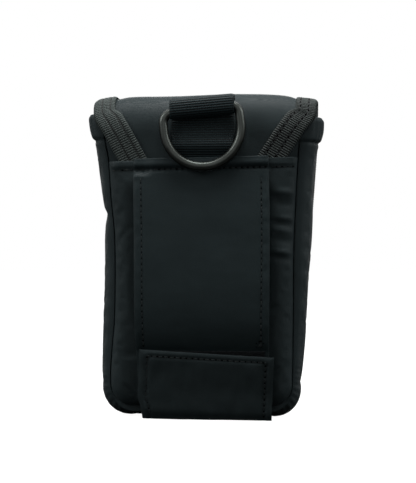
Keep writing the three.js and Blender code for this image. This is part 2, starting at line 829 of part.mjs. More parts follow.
const flapTop = hinged(FLAP_HINGE, [
  piece(
    "flap_top",
    flapCloth(NECK_END + GAP / 2, FALL_SPLIT - GAP / 2, 0, -FLAP_CLOTH),
    nylon(),
  ),
  piece(
    "flap_top_lining",
    flapCloth(NECK_END + GAP / 2, FALL_SPLIT - GAP / 2, -FLAP_CLOTH - GAP, -FLAP_LAYERS),
    liningCloth(),
  ),
  ...[[1, "left"], [-1, "right"]].map(([side, word]) =>
    piece(
      `flap_top_tape_${word}`,
      edgeTape(topStops(side, NECK_END + GAP / 2, FALL_SPLIT - GAP / 2), FLAP_LAYERS),
      ribbedTape(),
    ),
  ),
]);
flapFall.position.sub(FLAP_HINGE);
flapTop.add(flapFall);
pouch.add(flapTop);

pouch.add(
  hinged(STRAP_HINGE, [
    piece(
      "belt_strap",
      strapSheet(STRAP_WIDTH, STRAP_END, STRAP_HINGE_HEIGHT - GAP / 2, 0, STRAP_CLOTH),
      nylon(),
    ),
    piece(
      "strap_lining",
      strapSheet(
        STRAP_WIDTH - 2 * EDGE_MARGIN,
        STRAP_END,
        STRAP_HINGE_HEIGHT - STRAP_LINING_DROP,
        -GAP - LINING,
        -GAP,
      ),
      liningCloth(),
    ),
    piece(
      "strap_loop_patch",
      strapSheet(
        STRAP_WIDTH - 2 * EDGE_MARGIN,
        STRAP_END + PATCH_FOOT,
        LAP_TOP,
        STRAP_CLOTH + GAP,
        STRAP_CLOTH + GAP + FASTENER,
      ),
      fastener(),
    ),
  ]),
);

pouch.add(
  hinged(TAB_HINGE, [
    piece(
      "belt_tab",
      strapSheet(TAB_WIDTH, TAB_FOOT, TAB_TOP, TAB_STACK, TAB_STACK + TAB_CLOTH, TAB_SHIFT),
      nylon(),
    ),
    piece(
      "tab_hook_patch",
      strapSheet(
        TAB_WIDTH - 2 * PATCH_MARGIN,
        STRAP_END,
        TAB_TOP - PATCH_MARGIN,
        TAB_STACK - GAP - FASTENER,
        TAB_STACK - GAP,
        TAB_SHIFT,
      ),
      fastener(),
    ),
  ]),
);

export default pouch;
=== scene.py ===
# The looks of a padded belt pouch for a phone: cloth, tapes, webbing, stitches, studio and camera.
# Metres, in the frame of the solid model: +Z is up, +Y is the back with the belt strap.

import bisect
import json
import math

import bmesh
import bpy
from mathutils import Matrix, Vector, noise


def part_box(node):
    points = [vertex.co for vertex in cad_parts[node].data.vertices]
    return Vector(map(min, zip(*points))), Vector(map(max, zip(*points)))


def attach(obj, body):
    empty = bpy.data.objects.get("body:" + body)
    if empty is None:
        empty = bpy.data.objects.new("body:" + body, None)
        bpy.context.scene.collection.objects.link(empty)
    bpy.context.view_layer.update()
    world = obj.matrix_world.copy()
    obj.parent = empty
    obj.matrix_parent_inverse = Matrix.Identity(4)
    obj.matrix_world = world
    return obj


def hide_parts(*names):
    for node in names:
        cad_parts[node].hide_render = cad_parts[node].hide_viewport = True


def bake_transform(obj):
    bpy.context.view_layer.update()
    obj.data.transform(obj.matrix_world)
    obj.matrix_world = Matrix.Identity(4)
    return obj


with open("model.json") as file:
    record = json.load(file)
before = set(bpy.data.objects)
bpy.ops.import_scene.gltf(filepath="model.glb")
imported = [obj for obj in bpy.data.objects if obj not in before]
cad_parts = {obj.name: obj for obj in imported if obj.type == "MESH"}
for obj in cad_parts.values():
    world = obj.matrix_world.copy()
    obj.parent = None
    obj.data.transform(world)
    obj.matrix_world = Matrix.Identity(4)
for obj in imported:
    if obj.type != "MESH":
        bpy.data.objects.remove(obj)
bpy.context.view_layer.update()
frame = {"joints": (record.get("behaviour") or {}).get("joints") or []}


def low(node, axis):
    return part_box(node)[0]["xyz".index(axis)]


def high(node, axis):
    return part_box(node)[1]["xyz".index(axis)]


# Left and right as the belt side shows them: left is +X
LEFT, RIGHT = 1, -1
HINGE = {joint["name"]: Vector(joint["pos_m"]) for joint in frame["joints"]}

# Cloth and thread
WALL = 0.0009
LINING_WALL = 0.0005
TAPE_WALL = 0.0005
WEBBING_WALL = 0.0012
CLEAR = 0.0003
STITCH_PITCH = 0.0026
STITCH_LENGTH = 0.0018
THREAD = 0.00046
HOLE = 0.00075
EDGE_SEAM = 0.0036
CLOTH_GRID = 0.0008
FINE_GRID = 0.0006
RIB_GRID = 0.00022
COARSE_RIB_GRID = 0.0003

# Gusset and panels
GUSSET_WIDTH = 0.034
GUSSET_BASE = 0.0315
PANEL_WIDTH = 0.085
SHELL_WIDTH = 0.086
SEAM_FOOT = 0.0050
SEAM_CORNER = 0.0105
HEM_STITCH = 0.1114
HEM_SLOPE = -0.018
EAR_TOP = high("gusset", "z")
EAR_HEM = {LEFT: 0.0112, RIGHT: 0.0122}
EAR_LIFT = {LEFT: 0.0008, RIGHT: -0.0011}
BACK_SEAM = high("gusset", "y")
FRONT_SEAM = low("gusset", "y")
BACK_FACE = high("back_overlay", "y")
SHELL_FACE = high("back_panel", "y")
FRONT_FACE = low("front_panel", "y")
HEM_TOP = high("back_overlay", "z")
MOUTH = high("front_panel", "z")
COVER_FOOT = low("back_overlay", "z") + 0.0006
COVER_CORNER = 0.0100
COVER_ROUND = 0.0066
FRONT_ROUND = 0.0060
COVER_INSET = 0.0004

# Half widths at heights: of the gusset's outer face, and of the seam that joins it to the panels
OUTLINE = {
    LEFT: [
        (0.0000, 0.0440), (0.0083, 0.0457), (0.0138, 0.0466), (0.0203, 0.0469), (0.0350, 0.0463),
        (0.0570, 0.0458), (0.0716, 0.0453), (0.0863, 0.0450), (0.0910, 0.0443), (0.0950, 0.0457),
        (0.1083, 0.0477), (0.1157, 0.0490), (0.1230, 0.0503), (0.1290, 0.0522), (0.1356, 0.0529),
    ],
    RIGHT: [
        (0.0000, 0.0413), (0.0092, 0.0428), (0.0203, 0.0442), (0.0350, 0.0454), (0.0570, 0.0468),
        (0.0790, 0.0481), (0.1010, 0.0491), (0.1157, 0.0504), (0.1230, 0.0519), (0.1290, 0.0534),
        (0.1356, 0.0537),
    ],
}
SEAM = {
    LEFT: [
        (0.0050, 0.0408), (0.0180, 0.0417), (0.0300, 0.0411), (0.0450, 0.0399), (0.0800, 0.0398),
        (0.1000, 0.0416), (0.1155, 0.0427), (0.1250, 0.0444), (0.1356, 0.0452),
    ],
    RIGHT: [
        (0.0050, 0.0400), (0.0160, 0.0404), (0.0470, 0.0408), (0.0780, 0.0411), (0.1155, 0.0429),
        (0.1250, 0.0438), (0.1356, 0.0450),
    ],
}

# Flap: its faces and lengths along its cloth, counted from the foot of the neck
NECK_FACE = high("flap_neck", "y")
FALL_FACE = low("flap_front", "y")
FLAP_TOP = high("flap_top", "z")
FLAP_FOOT = low("flap_front", "z")
NECK_FOOT = low("flap_neck", "z")
ROLL_DEPTH = 0.012
ROLL_RISE = 0.019
FLAP_HALF = {LEFT: 0.0483, RIGHT: 0.0503}
FLAP_TAPER = 0.0035
FLAP_CORNER = 0.014
NECK_HALF = 0.0367
NECK_SLOPE = {LEFT: 0.56, RIGHT: 0.66}
NECK_TUCK = 0.0055
NECK_BEND = 0.0008
ROLL_BASE = FLAP_TOP - ROLL_RISE
BACK_ROLL = NECK_FACE - ROLL_DEPTH
ROLL_ANGLES = [math.pi / 2 * k / 60 for k in range(61)]
ROLL_RUNS = [0.0]
for before, after in zip(ROLL_ANGLES, ROLL_ANGLES[1:]):
    deep = ROLL_DEPTH * (math.cos(after) - math.cos(before))
    tall = ROLL_RISE * (math.sin(after) - math.sin(before))
    ROLL_RUNS.append(ROLL_RUNS[-1] + math.hypot(deep, tall))
QUARTER_ROLL = ROLL_RUNS[-1]
ROLL_START = ROLL_BASE - NECK_FOOT
TOP_START = ROLL_START + QUARTER_ROLL
TOP_END = TOP_START + NECK_FACE - FALL_FACE - 2 * ROLL_DEPTH
FALL_START = TOP_END + QUARTER_ROLL
FLAP_END = FALL_START + ROLL_BASE - FLAP_FOOT
TOP_MIDDLE = (TOP_START + TOP_END) / 2
FLAP_WIDTH = 0.100
FLAP_WALL = 0.001
FLAP_STACK = FLAP_WALL + CLEAR + 0.0006
TAPE_WIDTH = 0.0104
TAPE_FLAT = 0.0225
TAPE_PROUD = 0.0008
TAPE_RIB = 0.00108
TAPE_DEPTH = 0.00035
TAPE_GROOVES = (0.0035, 0.0079)

# How far the top of the flap hangs below its highest line, from the right edge to the left one
ROLL_DROP = [
    (-0.0520, 0.0060), (-0.0508, 0.0044), (-0.0475, 0.0035), (-0.0425, 0.0028), (-0.0385, 0.0015),
    (-0.0320, 0.0007), (-0.0145, 0.0003), (0.0000, 0.0007), (0.0220, 0.0011), (0.0340, 0.0013),
    (0.0385, 0.0021), (0.0435, 0.0027), (0.0475, 0.0037), (0.0495, 0.0056),
]

# Mouth binding
MOUTH_HALF = 0.0378
MOUTH_TAPE = 0.03
MOUTH_FOLD = 0.0015

# Webbing and ring
WEBBING_FOOT = -0.004
WEBBING_END = ROLL_START + QUARTER_ROLL * 0.63
WEBBING_HALF = 0.0143
WEBBING_RIB = 0.00110
WEBBING_SHIFT = -0.0005
WEBBING_BOW = 0.0026
LOOP_TOP = math.radians(50)
LOOP_END = math.radians(-115)
LOOP_BULGE = 0.0002
LOOP_SEAM = 0.0030
WIRE = 0.0020
RING_HALF = 0.0171
RING_DROP = 0.0257
RING_SHIFT = -0.0012
RING_CORNER = 0.0045
RING_TURN = math.radians(7.4)
LOOP_TURN = math.radians(4.8)

# Belt strap and tab
STRAP_WIDTH = 0.060
STRAP_EDGE = {
    LEFT: [(0.0120, 0.0278), (0.0310, 0.0287), (0.0470, 0.0291), (0.0780, 0.0296), (0.1100, 0.0306)],
    RIGHT: [
        (0.0120, -0.0298), (0.0310, -0.0302), (0.0580, -0.0305), (0.0880, -0.0305), (0.1150, -0.0299),
    ],
}
STRAP_TOP = 0.1164
STRAP_FOOT = 0.0120
STRAP_BOW = 0.0051
STRAP_WALL = 0.0010
LAP_TOP = 0.031
LAP_LEAN = math.tan(math.radians(6.9))
STRAP_HINGE = HINGE["strap_swing"].z
STRAP_END_GAP = 0.0017
STRAP_LINING = (0.058, 0.094)
TACK_HEIGHT = 0.0335
TAB_WIDTH = 0.0590
TAB_EDGE = {
    LEFT: [(0.0000, 0.0261), (0.0050, 0.0267), (0.0090, 0.0279), (0.0140, 0.0276), (0.0300, 0.0268)],
    RIGHT: [(0.0000, -0.0312), (0.0300, -0.0325)],
}
TAB_TOP = 0.0300
TAB_TILT = 0.0016
TAB_OFF = 0.0037
TAB_WALL = 0.0012
TAB_SEAM = 0.0026
TAB_TUCK = 0.0095

# Fastener patches
PILE_WALL = 0.0007
PILE_SEAM = 0.0014

# Camera: its direction, distance and lens, and the middle of its view
CAMERA_TURN = math.radians(4.94)
CAMERA_REACH = 0.6209
CAMERA_LENS = 101.5
VIEW_MIDDLE = Vector((-0.0014, 0, 0.0790))


# Small maths

def lerp(a, b, share):
    return a + (b - a) * share


def clamped(share):
    return min(max(share, 0.0), 1.0)


def eased(share):
    share = clamped(share)
    return share * share * (3 - 2 * share)


def near(distance, width):
    """1 on a line and 0 far from it."""
    return math.exp(-((distance / width) ** 2))


def ripple(distance, pitch):
    """From 0 to 1 and back once in each pitch."""
    return 0.5 - 0.5 * math.cos(2 * math.pi * distance / pitch)


def through(stops, at):
    """The value at a place on the smooth curve through a few stops, each a place and a value."""
    if at <= stops[0][0]:
        return stops[0][1]
    if at >= stops[-1][0]:
        return stops[-1][1]
    last = next(k for k in range(1, len(stops)) if at <= stops[k][0])

    def slope(k):
        before, after = stops[max(k - 1, 0)], stops[min(k + 1, len(stops) - 1)]
        return (after[1] - before[1]) / (after[0] - before[0])

    (start, first), (end, second) = stops[last - 1], stops[last]
    span = end - start
    t = (at - start) / span
    return (
        (1 + 2 * t) * (1 - t) ** 2 * first
        + t * (1 - t) ** 2 * span * slope(last - 1)
        + t * t * (3 - 2 * t) * second
        + t * t * (t - 1) * span * slope(last)
    )


def lengths_to(points):
    """The length of a line up to each of its points."""
    runs = [0.0]
    for before, after in zip(points, points[1:]):
        runs.append(runs[-1] + (after - before).length)
    return runs


def leg_at(runs, run):
    """The leg of a line in which a length along it falls, and the share of that leg."""
    leg = min(max(bisect.bisect(runs, run) - 1, 0), len(runs) - 2)
    return leg, clamped((run - runs[leg]) / max(runs[leg + 1] - runs[leg], 1e-9))


def at_length(runs, values, run):
    """The value at a length along a line, from the values at the ends of its legs."""
    leg, share = leg_at(runs, run)
    return lerp(values[leg], values[leg + 1], share)


def crumple(place, size, seed=0.0):
    """Smooth noise from -1 to 1 with folds of about a given size."""
    return noise.noise(Vector(place) / size + Vector((seed, 2 * seed, 3 * seed)))


def facing(face, u, v, step=1e-5):
    """Outward direction of a face at a place, where u runs across it and v along it."""
    across = face(u + step, v) - face(u - step, v)
    along = face(u, v + step) - face(u, v - step)
    return along.cross(across).normalized()


def lifted(face, u, v, height):
    return face(u, v) + facing(face, u, v) * height


# Shader maths

class Wire:
    """A socket that adds Math nodes to its graph when it is used in an expression."""

    def __init__(self, graph, socket):
        self.graph = graph
        self.socket = socket

    def maths(self, operation, *others):
        sockets = dict(enumerate([self, *others]))
        return self.graph.node("ShaderNodeMath", sockets, operation=operation)

    def __add__(self, other):
        return self.maths("ADD", other)

    def __mul__(self, other):
        return self.maths("MULTIPLY", other)

    def __sub__(self, other):
        return self.maths("SUBTRACT", other)

    def __truediv__(self, other):
        return self.maths("DIVIDE", other)

    def __rsub__(self, other):
        return (self * -1) + other

    __radd__ = __add__
    __rmul__ = __mul__


class Graph:
    """The nodes of a material or of the world, with one method that adds a node of any type."""

    def __init__(self, owner):
        owner.use_nodes = True
        self.tree = owner.node_tree

    def node(self, kind, sockets=None, out=0, stops=None, **settings):
        made = self.tree.nodes.new(kind)
        for setting, value in settings.items():
            setattr(made, setting, value)
        if stops:
            ramp = made.color_ramp.elements
            while len(ramp) < len(stops):
                ramp.new(0.5)
            for element, (place, value) in zip(ramp, stops):
                element.position = place
                element.color = (value, value, value, 1)
        for socket, value in (sockets or {}).items():
            self.join(value, made.inputs[socket])
        return Wire(self, made.outputs[out])

    def join(self, value, socket):
        if isinstance(value, Wire):
            self.tree.links.new(value.socket, socket)
        else:
            socket.default_value = value

    def split(self, vector):
        return [self.node("ShaderNodeSeparateXYZ", {"Vector": vector}, out=axis) for axis in "XYZ"]

    def seen_by(self, *rays):
        """1 for these kinds of rays and 0 for all others."""
        path = [self.node("ShaderNodeLightPath", out=f"Is {kind} Ray") for kind in rays]
        found = path[0]
        for other in path[1:]:
            found = found.maths("MAXIMUM", other)
        return found


class Finish(Graph):
    """A material of one shader."""

    def __init__(self, name, **constants):
        self.material = bpy.data.materials.new(name)
        super().__init__(self.material)
        self.shader = self.tree.nodes["Principled BSDF"]
        for socket, value in constants.items():
            self.shader.inputs[socket.replace("_", " ")].default_value = value

    def objectwise(self):
        return self.node("ShaderNodeTexCoord", out="Object")

    def speckle(self, scale, detail):
        sockets = {"Vector": self.objectwise(), "Scale": scale, "Detail": detail}
        return self.node("ShaderNodeTexNoise", sockets, out="Fac")

    def cells(self, scale):
        sockets = {"Vector": self.objectwise(), "Scale": scale}
        return self.node("ShaderNodeTexVoronoi", sockets, out="Distance")

    def wave(self, share):
        """From 0 to 1 and back once each time the share goes up by 1."""
        return (share * (2 * math.pi)).maths("SINE") * 0.5 + 0.5

    def tone(self, share, tone, dark, light):
        """A colour between a darker and a lighter shade of a tone."""
        first, last = [(*(channel * by for channel in tone), 1) for by in (dark, light)]
        return self.node("ShaderNodeMix", {"Factor": share, 6: first, 7: last}, out=2, data_type="RGBA")

    def shaded(self, tone, roughness, height, depth):
        """The material with this tone and roughness, and a bump of a height and depth."""
        bump = self.node("ShaderNodeBump", {"Height": height, "Distance": depth}, out="Normal")
        for socket, value in (("Base Color", tone), ("Roughness", roughness), ("Normal", bump)):
            self.join(value, self.shader.inputs[socket])
        return self.material


# Finishes

NYLON_TONE = (0.0105, 0.0150, 0.0160)
# The strap's cloth is the same nylon in a darker tone: painted shade.
STRAP_SHADED_TONE = (0.0070, 0.0110, 0.0119)
TAPE_TONE = (0.0110, 0.0139, 0.0132)
WEBBING_TONE = (0.0027, 0.0059, 0.0067)
LINING_TONE = (0.0110, 0.0125, 0.0135)
FOAM_TONE = (0.022, 0.023, 0.024)
PILE_TONE = (0.0030, 0.0036, 0.0040)
THREAD_TONE = (0.0070, 0.0090, 0.0094)
METAL_TONE = (0.027, 0.030, 0.028)
WEAVE_PITCH = 0.00036


def weave(cloth):
    """Height of a fine plain weave, whichever way the cloth faces."""
    x, y, z = cloth.split(cloth.objectwise())
    warp = cloth.wave((x + y) / WEAVE_PITCH)
    weft = cloth.wave((z + y) / WEAVE_PITCH)
    return warp * weft + (1 - warp) * (1 - weft)


def nylon(name, tone):
    cloth = Finish(name, Specular_IOR_Level=0.05)
    mottle = cloth.speckle(90.0, 4.0)
    grain = cloth.speckle(1400.0, 2.0)
    threads = weave(cloth)
    worn = cloth.tone(mottle * 0.6 + grain * 0.3 + threads * 0.1, tone, 0.80, 1.20)
    height = threads * 0.6 + grain * 0.8 + mottle * 0.8
    return cloth.shaded(worn, mottle * 0.16 + grain * 0.10 + 0.36, height, 0.00006)


def lining():
    cloth = Finish("lining", Specular_IOR_Level=0.08)
    threads = weave(cloth)
    mottle = cloth.speckle(120.0, 3.0)
    tone = cloth.tone(mottle, LINING_TONE, 0.8, 1.2)
    return cloth.shaded(tone, mottle * 0.1 + 0.68, threads, 0.00008)


def foam():
    sheet = Finish("foam", Specular_IOR_Level=0.08)
    cells = sheet.cells(1800.0)
    return sheet.shaded(sheet.tone(cells, FOAM_TONE, 0.7, 1.2), cells * 0.1 + 0.85, cells, 0.0002)


def narrow_weave(name, tone, columns, roughness):
    """Tape or webbing, with warp yarns along it, and painted shade: darker between its ribs and lighter
    on them. Its UV map is in metres.
    """
    cloth = Finish(name, Specular_IOR_Level=0.1)
    across = cloth.split(cloth.node("ShaderNodeUVMap", out="UV"))[0]
    fuzz = cloth.speckle(1500.0, 3.0)
    patch = cloth.speckle(160.0, 2.0)
    ribs = cloth.node("ShaderNodeAttribute", out="Fac", attribute_name="relief")
    warp = cloth.wave(across / columns)
    # Painted shade and highlight: the rib value darkens the tone towards 0.03 times between the ribs
    # and in the stitch grooves, and lightens it towards 2.5 times on the rib tops.
    ribbed = cloth.tone(ribs + warp * 0.08 + fuzz * 0.12 + patch * 0.08 - 0.22, tone, 0.03, 2.5)
    return cloth.shaded(ribbed, fuzz * 0.16 + roughness, warp * 0.5 + fuzz * 0.8, 0.00010)


def pile():
    """Hook-and-loop fastener: short dense pile."""
    patch = Finish("fastener_pile", Specular_IOR_Level=0.04)
    loops = patch.cells(1500.0)
    fuzz = patch.speckle(900.0, 5.0)
    tone = patch.tone(fuzz, PILE_TONE, 0.6, 1.6)
    return patch.shaded(tone, fuzz * 0.1 + 0.85, loops * 0.7 + fuzz * 0.6, 0.0003)


def thread():
    yarn = Finish("thread", Specular_IOR_Level=0.08)
    x, y, z = yarn.split(yarn.objectwise())
    twist = yarn.wave((x + y + z) / 0.0007)
    tone = yarn.tone(twist, THREAD_TONE, 0.6, 1.7)
    return yarn.shaded(tone, twist * 0.1 + 0.42, twist, 0.00005)


def dark_metal():
    """Dark plated wire, rubbed a little lighter where it is handled."""
    metal = Finish("dark_metal", Metallic=1.0)
    cloud = metal.speckle(240.0, 4.0)
    scuff = metal.speckle(2200.0, 3.0)
    rub = metal.node("ShaderNodeValToRGB", {"Fac": cloud}, stops=[(0.45, 0.0), (0.75, 1.0)])
    tone = metal.tone(cloud * 0.7 + rub * 0.3, METAL_TONE, 0.75, 1.3)
    return metal.shaded(tone, scuff * 0.16 + cloud * 0.10 + 0.24, scuff, 0.00002)


NYLON = nylon("nylon", NYLON_TONE)
# A darker copy of the nylon for the belt strap: painted shade.
SHADED_STRAP_NYLON = nylon("strap_nylon", STRAP_SHADED_TONE)
LINING = lining()
FOAM = foam()
TAPE = narrow_weave("ribbed_tape", TAPE_TONE, 0.0006, 0.50)
WEBBING = narrow_weave("webbing", WEBBING_TONE, 0.0009, 0.55)
PILE = pile()
YARN = thread()
# Black beads at the needle holes: painted shade of the holes.
HOLE_SHADE_TONE = (0.0005, 0.0005, 0.0005, 1)
METAL = dark_metal()
NEEDLE_HOLE_SHADE = Finish(
    "needle_hole", Base_Color=HOLE_SHADE_TONE, Roughness=1.0, Specular_IOR_Level=0.0
).material


# Making pieces

def shaped(name, shape, finish, wall=0.0, rounding=0.0):
    """An object from a bmesh, with a wall's thickness inwards and rounded rims."""
    mesh = bpy.data.meshes.new(name)
    shape.to_mesh(mesh)
    shape.free()
    mesh.shade_smooth()
    mesh.materials.append(finish)
    thing = bpy.data.objects.new(name, mesh)
    bpy.context.collection.objects.link(thing)
    if wall:
        solidify = thing.modifiers.new("wall", "SOLIDIFY")
        solidify.thickness = wall
        solidify.offset = -1
    if rounding:
        bevel = thing.modifiers.new("rims", "BEVEL")
        bevel.width = rounding
        bevel.segments = 2
        bevel.limit_method = "ANGLE"
        bevel.angle_limit = math.radians(55)
    return thing


def laid(name, sheet, size, steps, finish, outward, wall=WALL, rounding=0.0, ribs=None):
    """Cloth laid over a form: a grid whose points are placed by their shares across and along it.

    Each of the two steps is the length of a cell, or else the number of cells.
    """
    across, along = [
        step if isinstance(step, int) else round(length / step) for length, step in zip(size, steps)
    ]
    shape = bmesh.new()
    uv = shape.loops.layers.uv.new("UVMap")
    # Rib values for the tape and webbing materials, which paint shade between the ribs and a highlight
    # on them.
    relief = shape.verts.layers.float.new("relief") if ribs else None
    bmesh.ops.create_grid(shape, x_segments=across, y_segments=along, size=0.5)
    for cell in shape.faces:
        for corner in cell.loops:
            share = corner.vert.co
            corner[uv].uv = ((share.x + 0.5) * size[0], (share.y + 0.5) * size[1])
    for point in shape.verts:
        u, v = point.co.x + 0.5, point.co.y + 0.5
        point.co = sheet(u, v)
        if ribs:
            point[relief] = ribs(u, v)
    shape.normal_update()
    shape.faces.ensure_lookup_table()
    middle = shape.faces[(along // 2) * across + across // 2]
    if middle.normal.dot(Vector(outward)) < 0:
        bmesh.ops.reverse_faces(shape, faces=shape.faces[:])
    return shaped(name, shape, finish, wall, rounding)


def add_bead(shape, middle, axes, material=0):
    """A rounded bead with its half sizes along three directions."""
    turn = Matrix(axes).transposed().to_4x4()
    made = bmesh.ops.create_uvsphere(
        shape, u_segments=8, v_segments=5, radius=1.0, matrix=Matrix.Translation(middle) @ turn
    )
    for vert in made["verts"]:
        for face in vert.link_faces:
            face.material_index = material


def sew(shape, face, line, height=THREAD * 0.35, length=STITCH_LENGTH):
    """Adds a row of stitches along a line of places on a face, with a black bead of painted shade at
    each needle hole.
    """
    points = [face(u, v) for u, v in line]
    runs = lengths_to(points)
    count = max(1, round(runs[-1] / STITCH_PITCH))
    pitch = runs[-1] / count
    for index in range(count):
        leg, share = leg_at(runs, (index + 0.5) * pitch)
        (u0, v0), (u1, v1) = line[leg], line[leg + 1]
        u, v = lerp(u0, u1, share), lerp(v0, v1, share)
        out = facing(face, u, v)
        way = (points[leg + 1] - points[leg]).normalized()
        side = out.cross(way).normalized()
        wobble = 0.12 * crumple((u * 40, v * 40, index), 1.0, 5.0)
        way = (way + side * wobble).normalized()
        side = out.cross(way).normalized()
        middle = face(u, v) + out * height
        add_bead(shape, middle, (way * length / 2, side * THREAD / 2, out * THREAD / 2))
        # A flat black bead in the needle hole: painted shade.
        hole = middle + way * pitch / 2 - out * (height - 0.00010)
        add_bead(shape, hole, (way * HOLE / 2, side * HOLE / 2, out * 0.00016), 1)


def bend_at(joint, way):
    """Gives a step that bakes a piece's place into its mesh; it makes no bend at the joint."""
    hinge, way = HINGE[joint], Vector(way)

    def bend(piece):
        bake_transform(piece)

    return bend


# Over the back of the roll, down its front, below the head of the strap, and round the fold of the tab
LIFT_WAY = (0, -math.sin(math.radians(65)), math.cos(math.radians(65)))
bend_at_lift = bend_at("flap_lift", LIFT_WAY)
bend_at_fall = bend_at("flap_bend", (0, 0, -1))
bend_at_strap = bend_at("strap_swing", (0, 0, -1))
bend_at_tab = bend_at("tab_fold", (0, 1, 1))


def fitted(piece, where, slot, *nodes):
    """Fixes a piece to a body, or bakes its place into its mesh, in the place of its solids."""
    if callable(where):
        where(piece)
    else:
        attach(piece, where)
    if nodes:
        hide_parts(*nodes)


def cut_cloth(name, sheet, size, steps, finish, outward, fit, held, rests, area=None, **form):
    """A flat piece of cloth, tape or webbing, laid over a form. fit is what fitted needs."""
    piece = laid(name, sheet, size, steps, finish, outward, **form)
    fitted(piece, *fit)


def stitched(name, rows, where, slot, **settings):
    """One object for stitches that move together. A row is a face and a line, and at times a height."""
    shape = bmesh.new()
    for row in rows:
        sew(shape, *row, **settings)
    thing = shaped(name, shape, YARN)
    # The second material: the black painted shade of the needle holes.
    thing.data.materials.append(NEEDLE_HOLE_SHADE)
    fitted(thing, where, slot)


def seam_dip(distance, along, depth=0.00030):
    """How far stitches pull the cloth in beside their line, deepest at the needle holes."""
    holes = 0.75 + 0.25 * math.cos(2 * math.pi * along / STITCH_PITCH)
    return depth * near(distance, 0.0008) * holes


# Padding that swells and puckers between its seams

SIM_SCALE = 6.0
SIM_FRAMES = 24
SIM_SETTINGS = {
    "quality": 6, "mass": 0.3, "vertex_group_mass": "seams", "tension_stiffness": 30,
    "compression_stiffness": 30, "shear_stiffness": 8, "bending_stiffness": 0.6, "air_damping": 4,
    "use_pressure": True,
}


def swollen(thing, pinned, pressure, slack, cap):
    """Lets a padded piece swell and pucker between its seams, and keeps the result in its mesh."""
    mesh = thing.data
    rest = [point.co.copy() for point in mesh.vertices]
    copy = bpy.data.objects.new("swelling", mesh.copy())
    bpy.context.collection.objects.link(copy)
    copy.data.transform(Matrix.Scale(SIM_SCALE, 4))
    seams = copy.vertex_groups.new(name="seams")
    seams.add([index for index, place in enumerate(rest) if pinned(place)], 1.0, "REPLACE")
    cloth = copy.modifiers.new("cloth", "CLOTH")
    for setting, value in SIM_SETTINGS.items():
        setattr(cloth.settings, setting, value)
    cloth.settings.uniform_pressure_force = pressure
    cloth.settings.shrink_min = -slack
    cloth.settings.effector_weights.gravity = 0
    cloth.point_cache.frame_end = SIM_FRAMES
    for moment in range(1, SIM_FRAMES + 1):
        bpy.context.scene.frame_set(moment)
    made = copy.evaluated_get(bpy.context.evaluated_depsgraph_get())
    for point, before, after in zip(mesh.vertices, rest, made.data.vertices):
        moved = after.co / SIM_SCALE - before
        if moved.length > cap:
            moved *= cap / moved.length
        point.co = before + moved
    bpy.context.scene.frame_set(1)
    bpy.data.objects.remove(copy)


def padded_cloth(piece, node, pinned, fill, **swell):
    """Lets the cloth over some padding swell, and fixes it in the place of its solid."""
    swollen(piece, pinned, **swell)
    fitted(piece, "pouch", "nylon", node)


# Gusset

def side_of(x):
    return LEFT if x >= 0 else RIGHT


def seam_half(side, z):
    return through(SEAM[side], z)


def round_path(share, half, foot, top, corner):
    """A place on a path down one side, round the foot and up the other side, and its outward way.

    The share goes from 0 at the top left to 1 at the top right. half(side, z) is the half width. The
    third value is the length from the nearer top.
    """
    side = LEFT if share < 0.5 else RIGHT
    side_run = top - foot - corner
    corner_run = corner * math.pi / 2
    base_run = half(side, foot + corner) - corner
    run = min(share, 1 - share) * 2 * (side_run + corner_run + base_run)
    if run < side_run:
        z = top - run
        return Vector((side * half(side, z), 0, z)), Vector((side, 0, 0)), run
    if run < side_run + corner_run:
        angle = (run - side_run) / corner
        out = Vector((side * math.cos(angle), 0, -math.sin(angle)))
        return Vector((side * base_run, 0, foot + corner)) + out * corner, out, run
    x = base_run - (run - side_run - corner_run)
    return Vector((side * x, 0, foot)), Vector((0, 0, -1)), run


def seam_swell(seam, out, side):
    """How far the gusset stands out from its seam."""
    if out.z == 0:
        return through(OUTLINE[side], seam.z) - abs(seam.x)
    corner_top = SEAM_FOOT + SEAM_CORNER
    beside = through(OUTLINE[side], corner_top) - seam_half(side, corner_top)
    turn = math.asin(min(-out.z, 1.0))
    return lerp(beside, SEAM_FOOT, eased(turn / (math.pi / 2))) + 0.0015 * math.sin(2 * turn)


GUSSET_RUN = 2 * (EAR_TOP - SEAM_FOOT - SEAM_CORNER + SEAM_CORNER * math.pi / 2 + GUSSET_BASE)


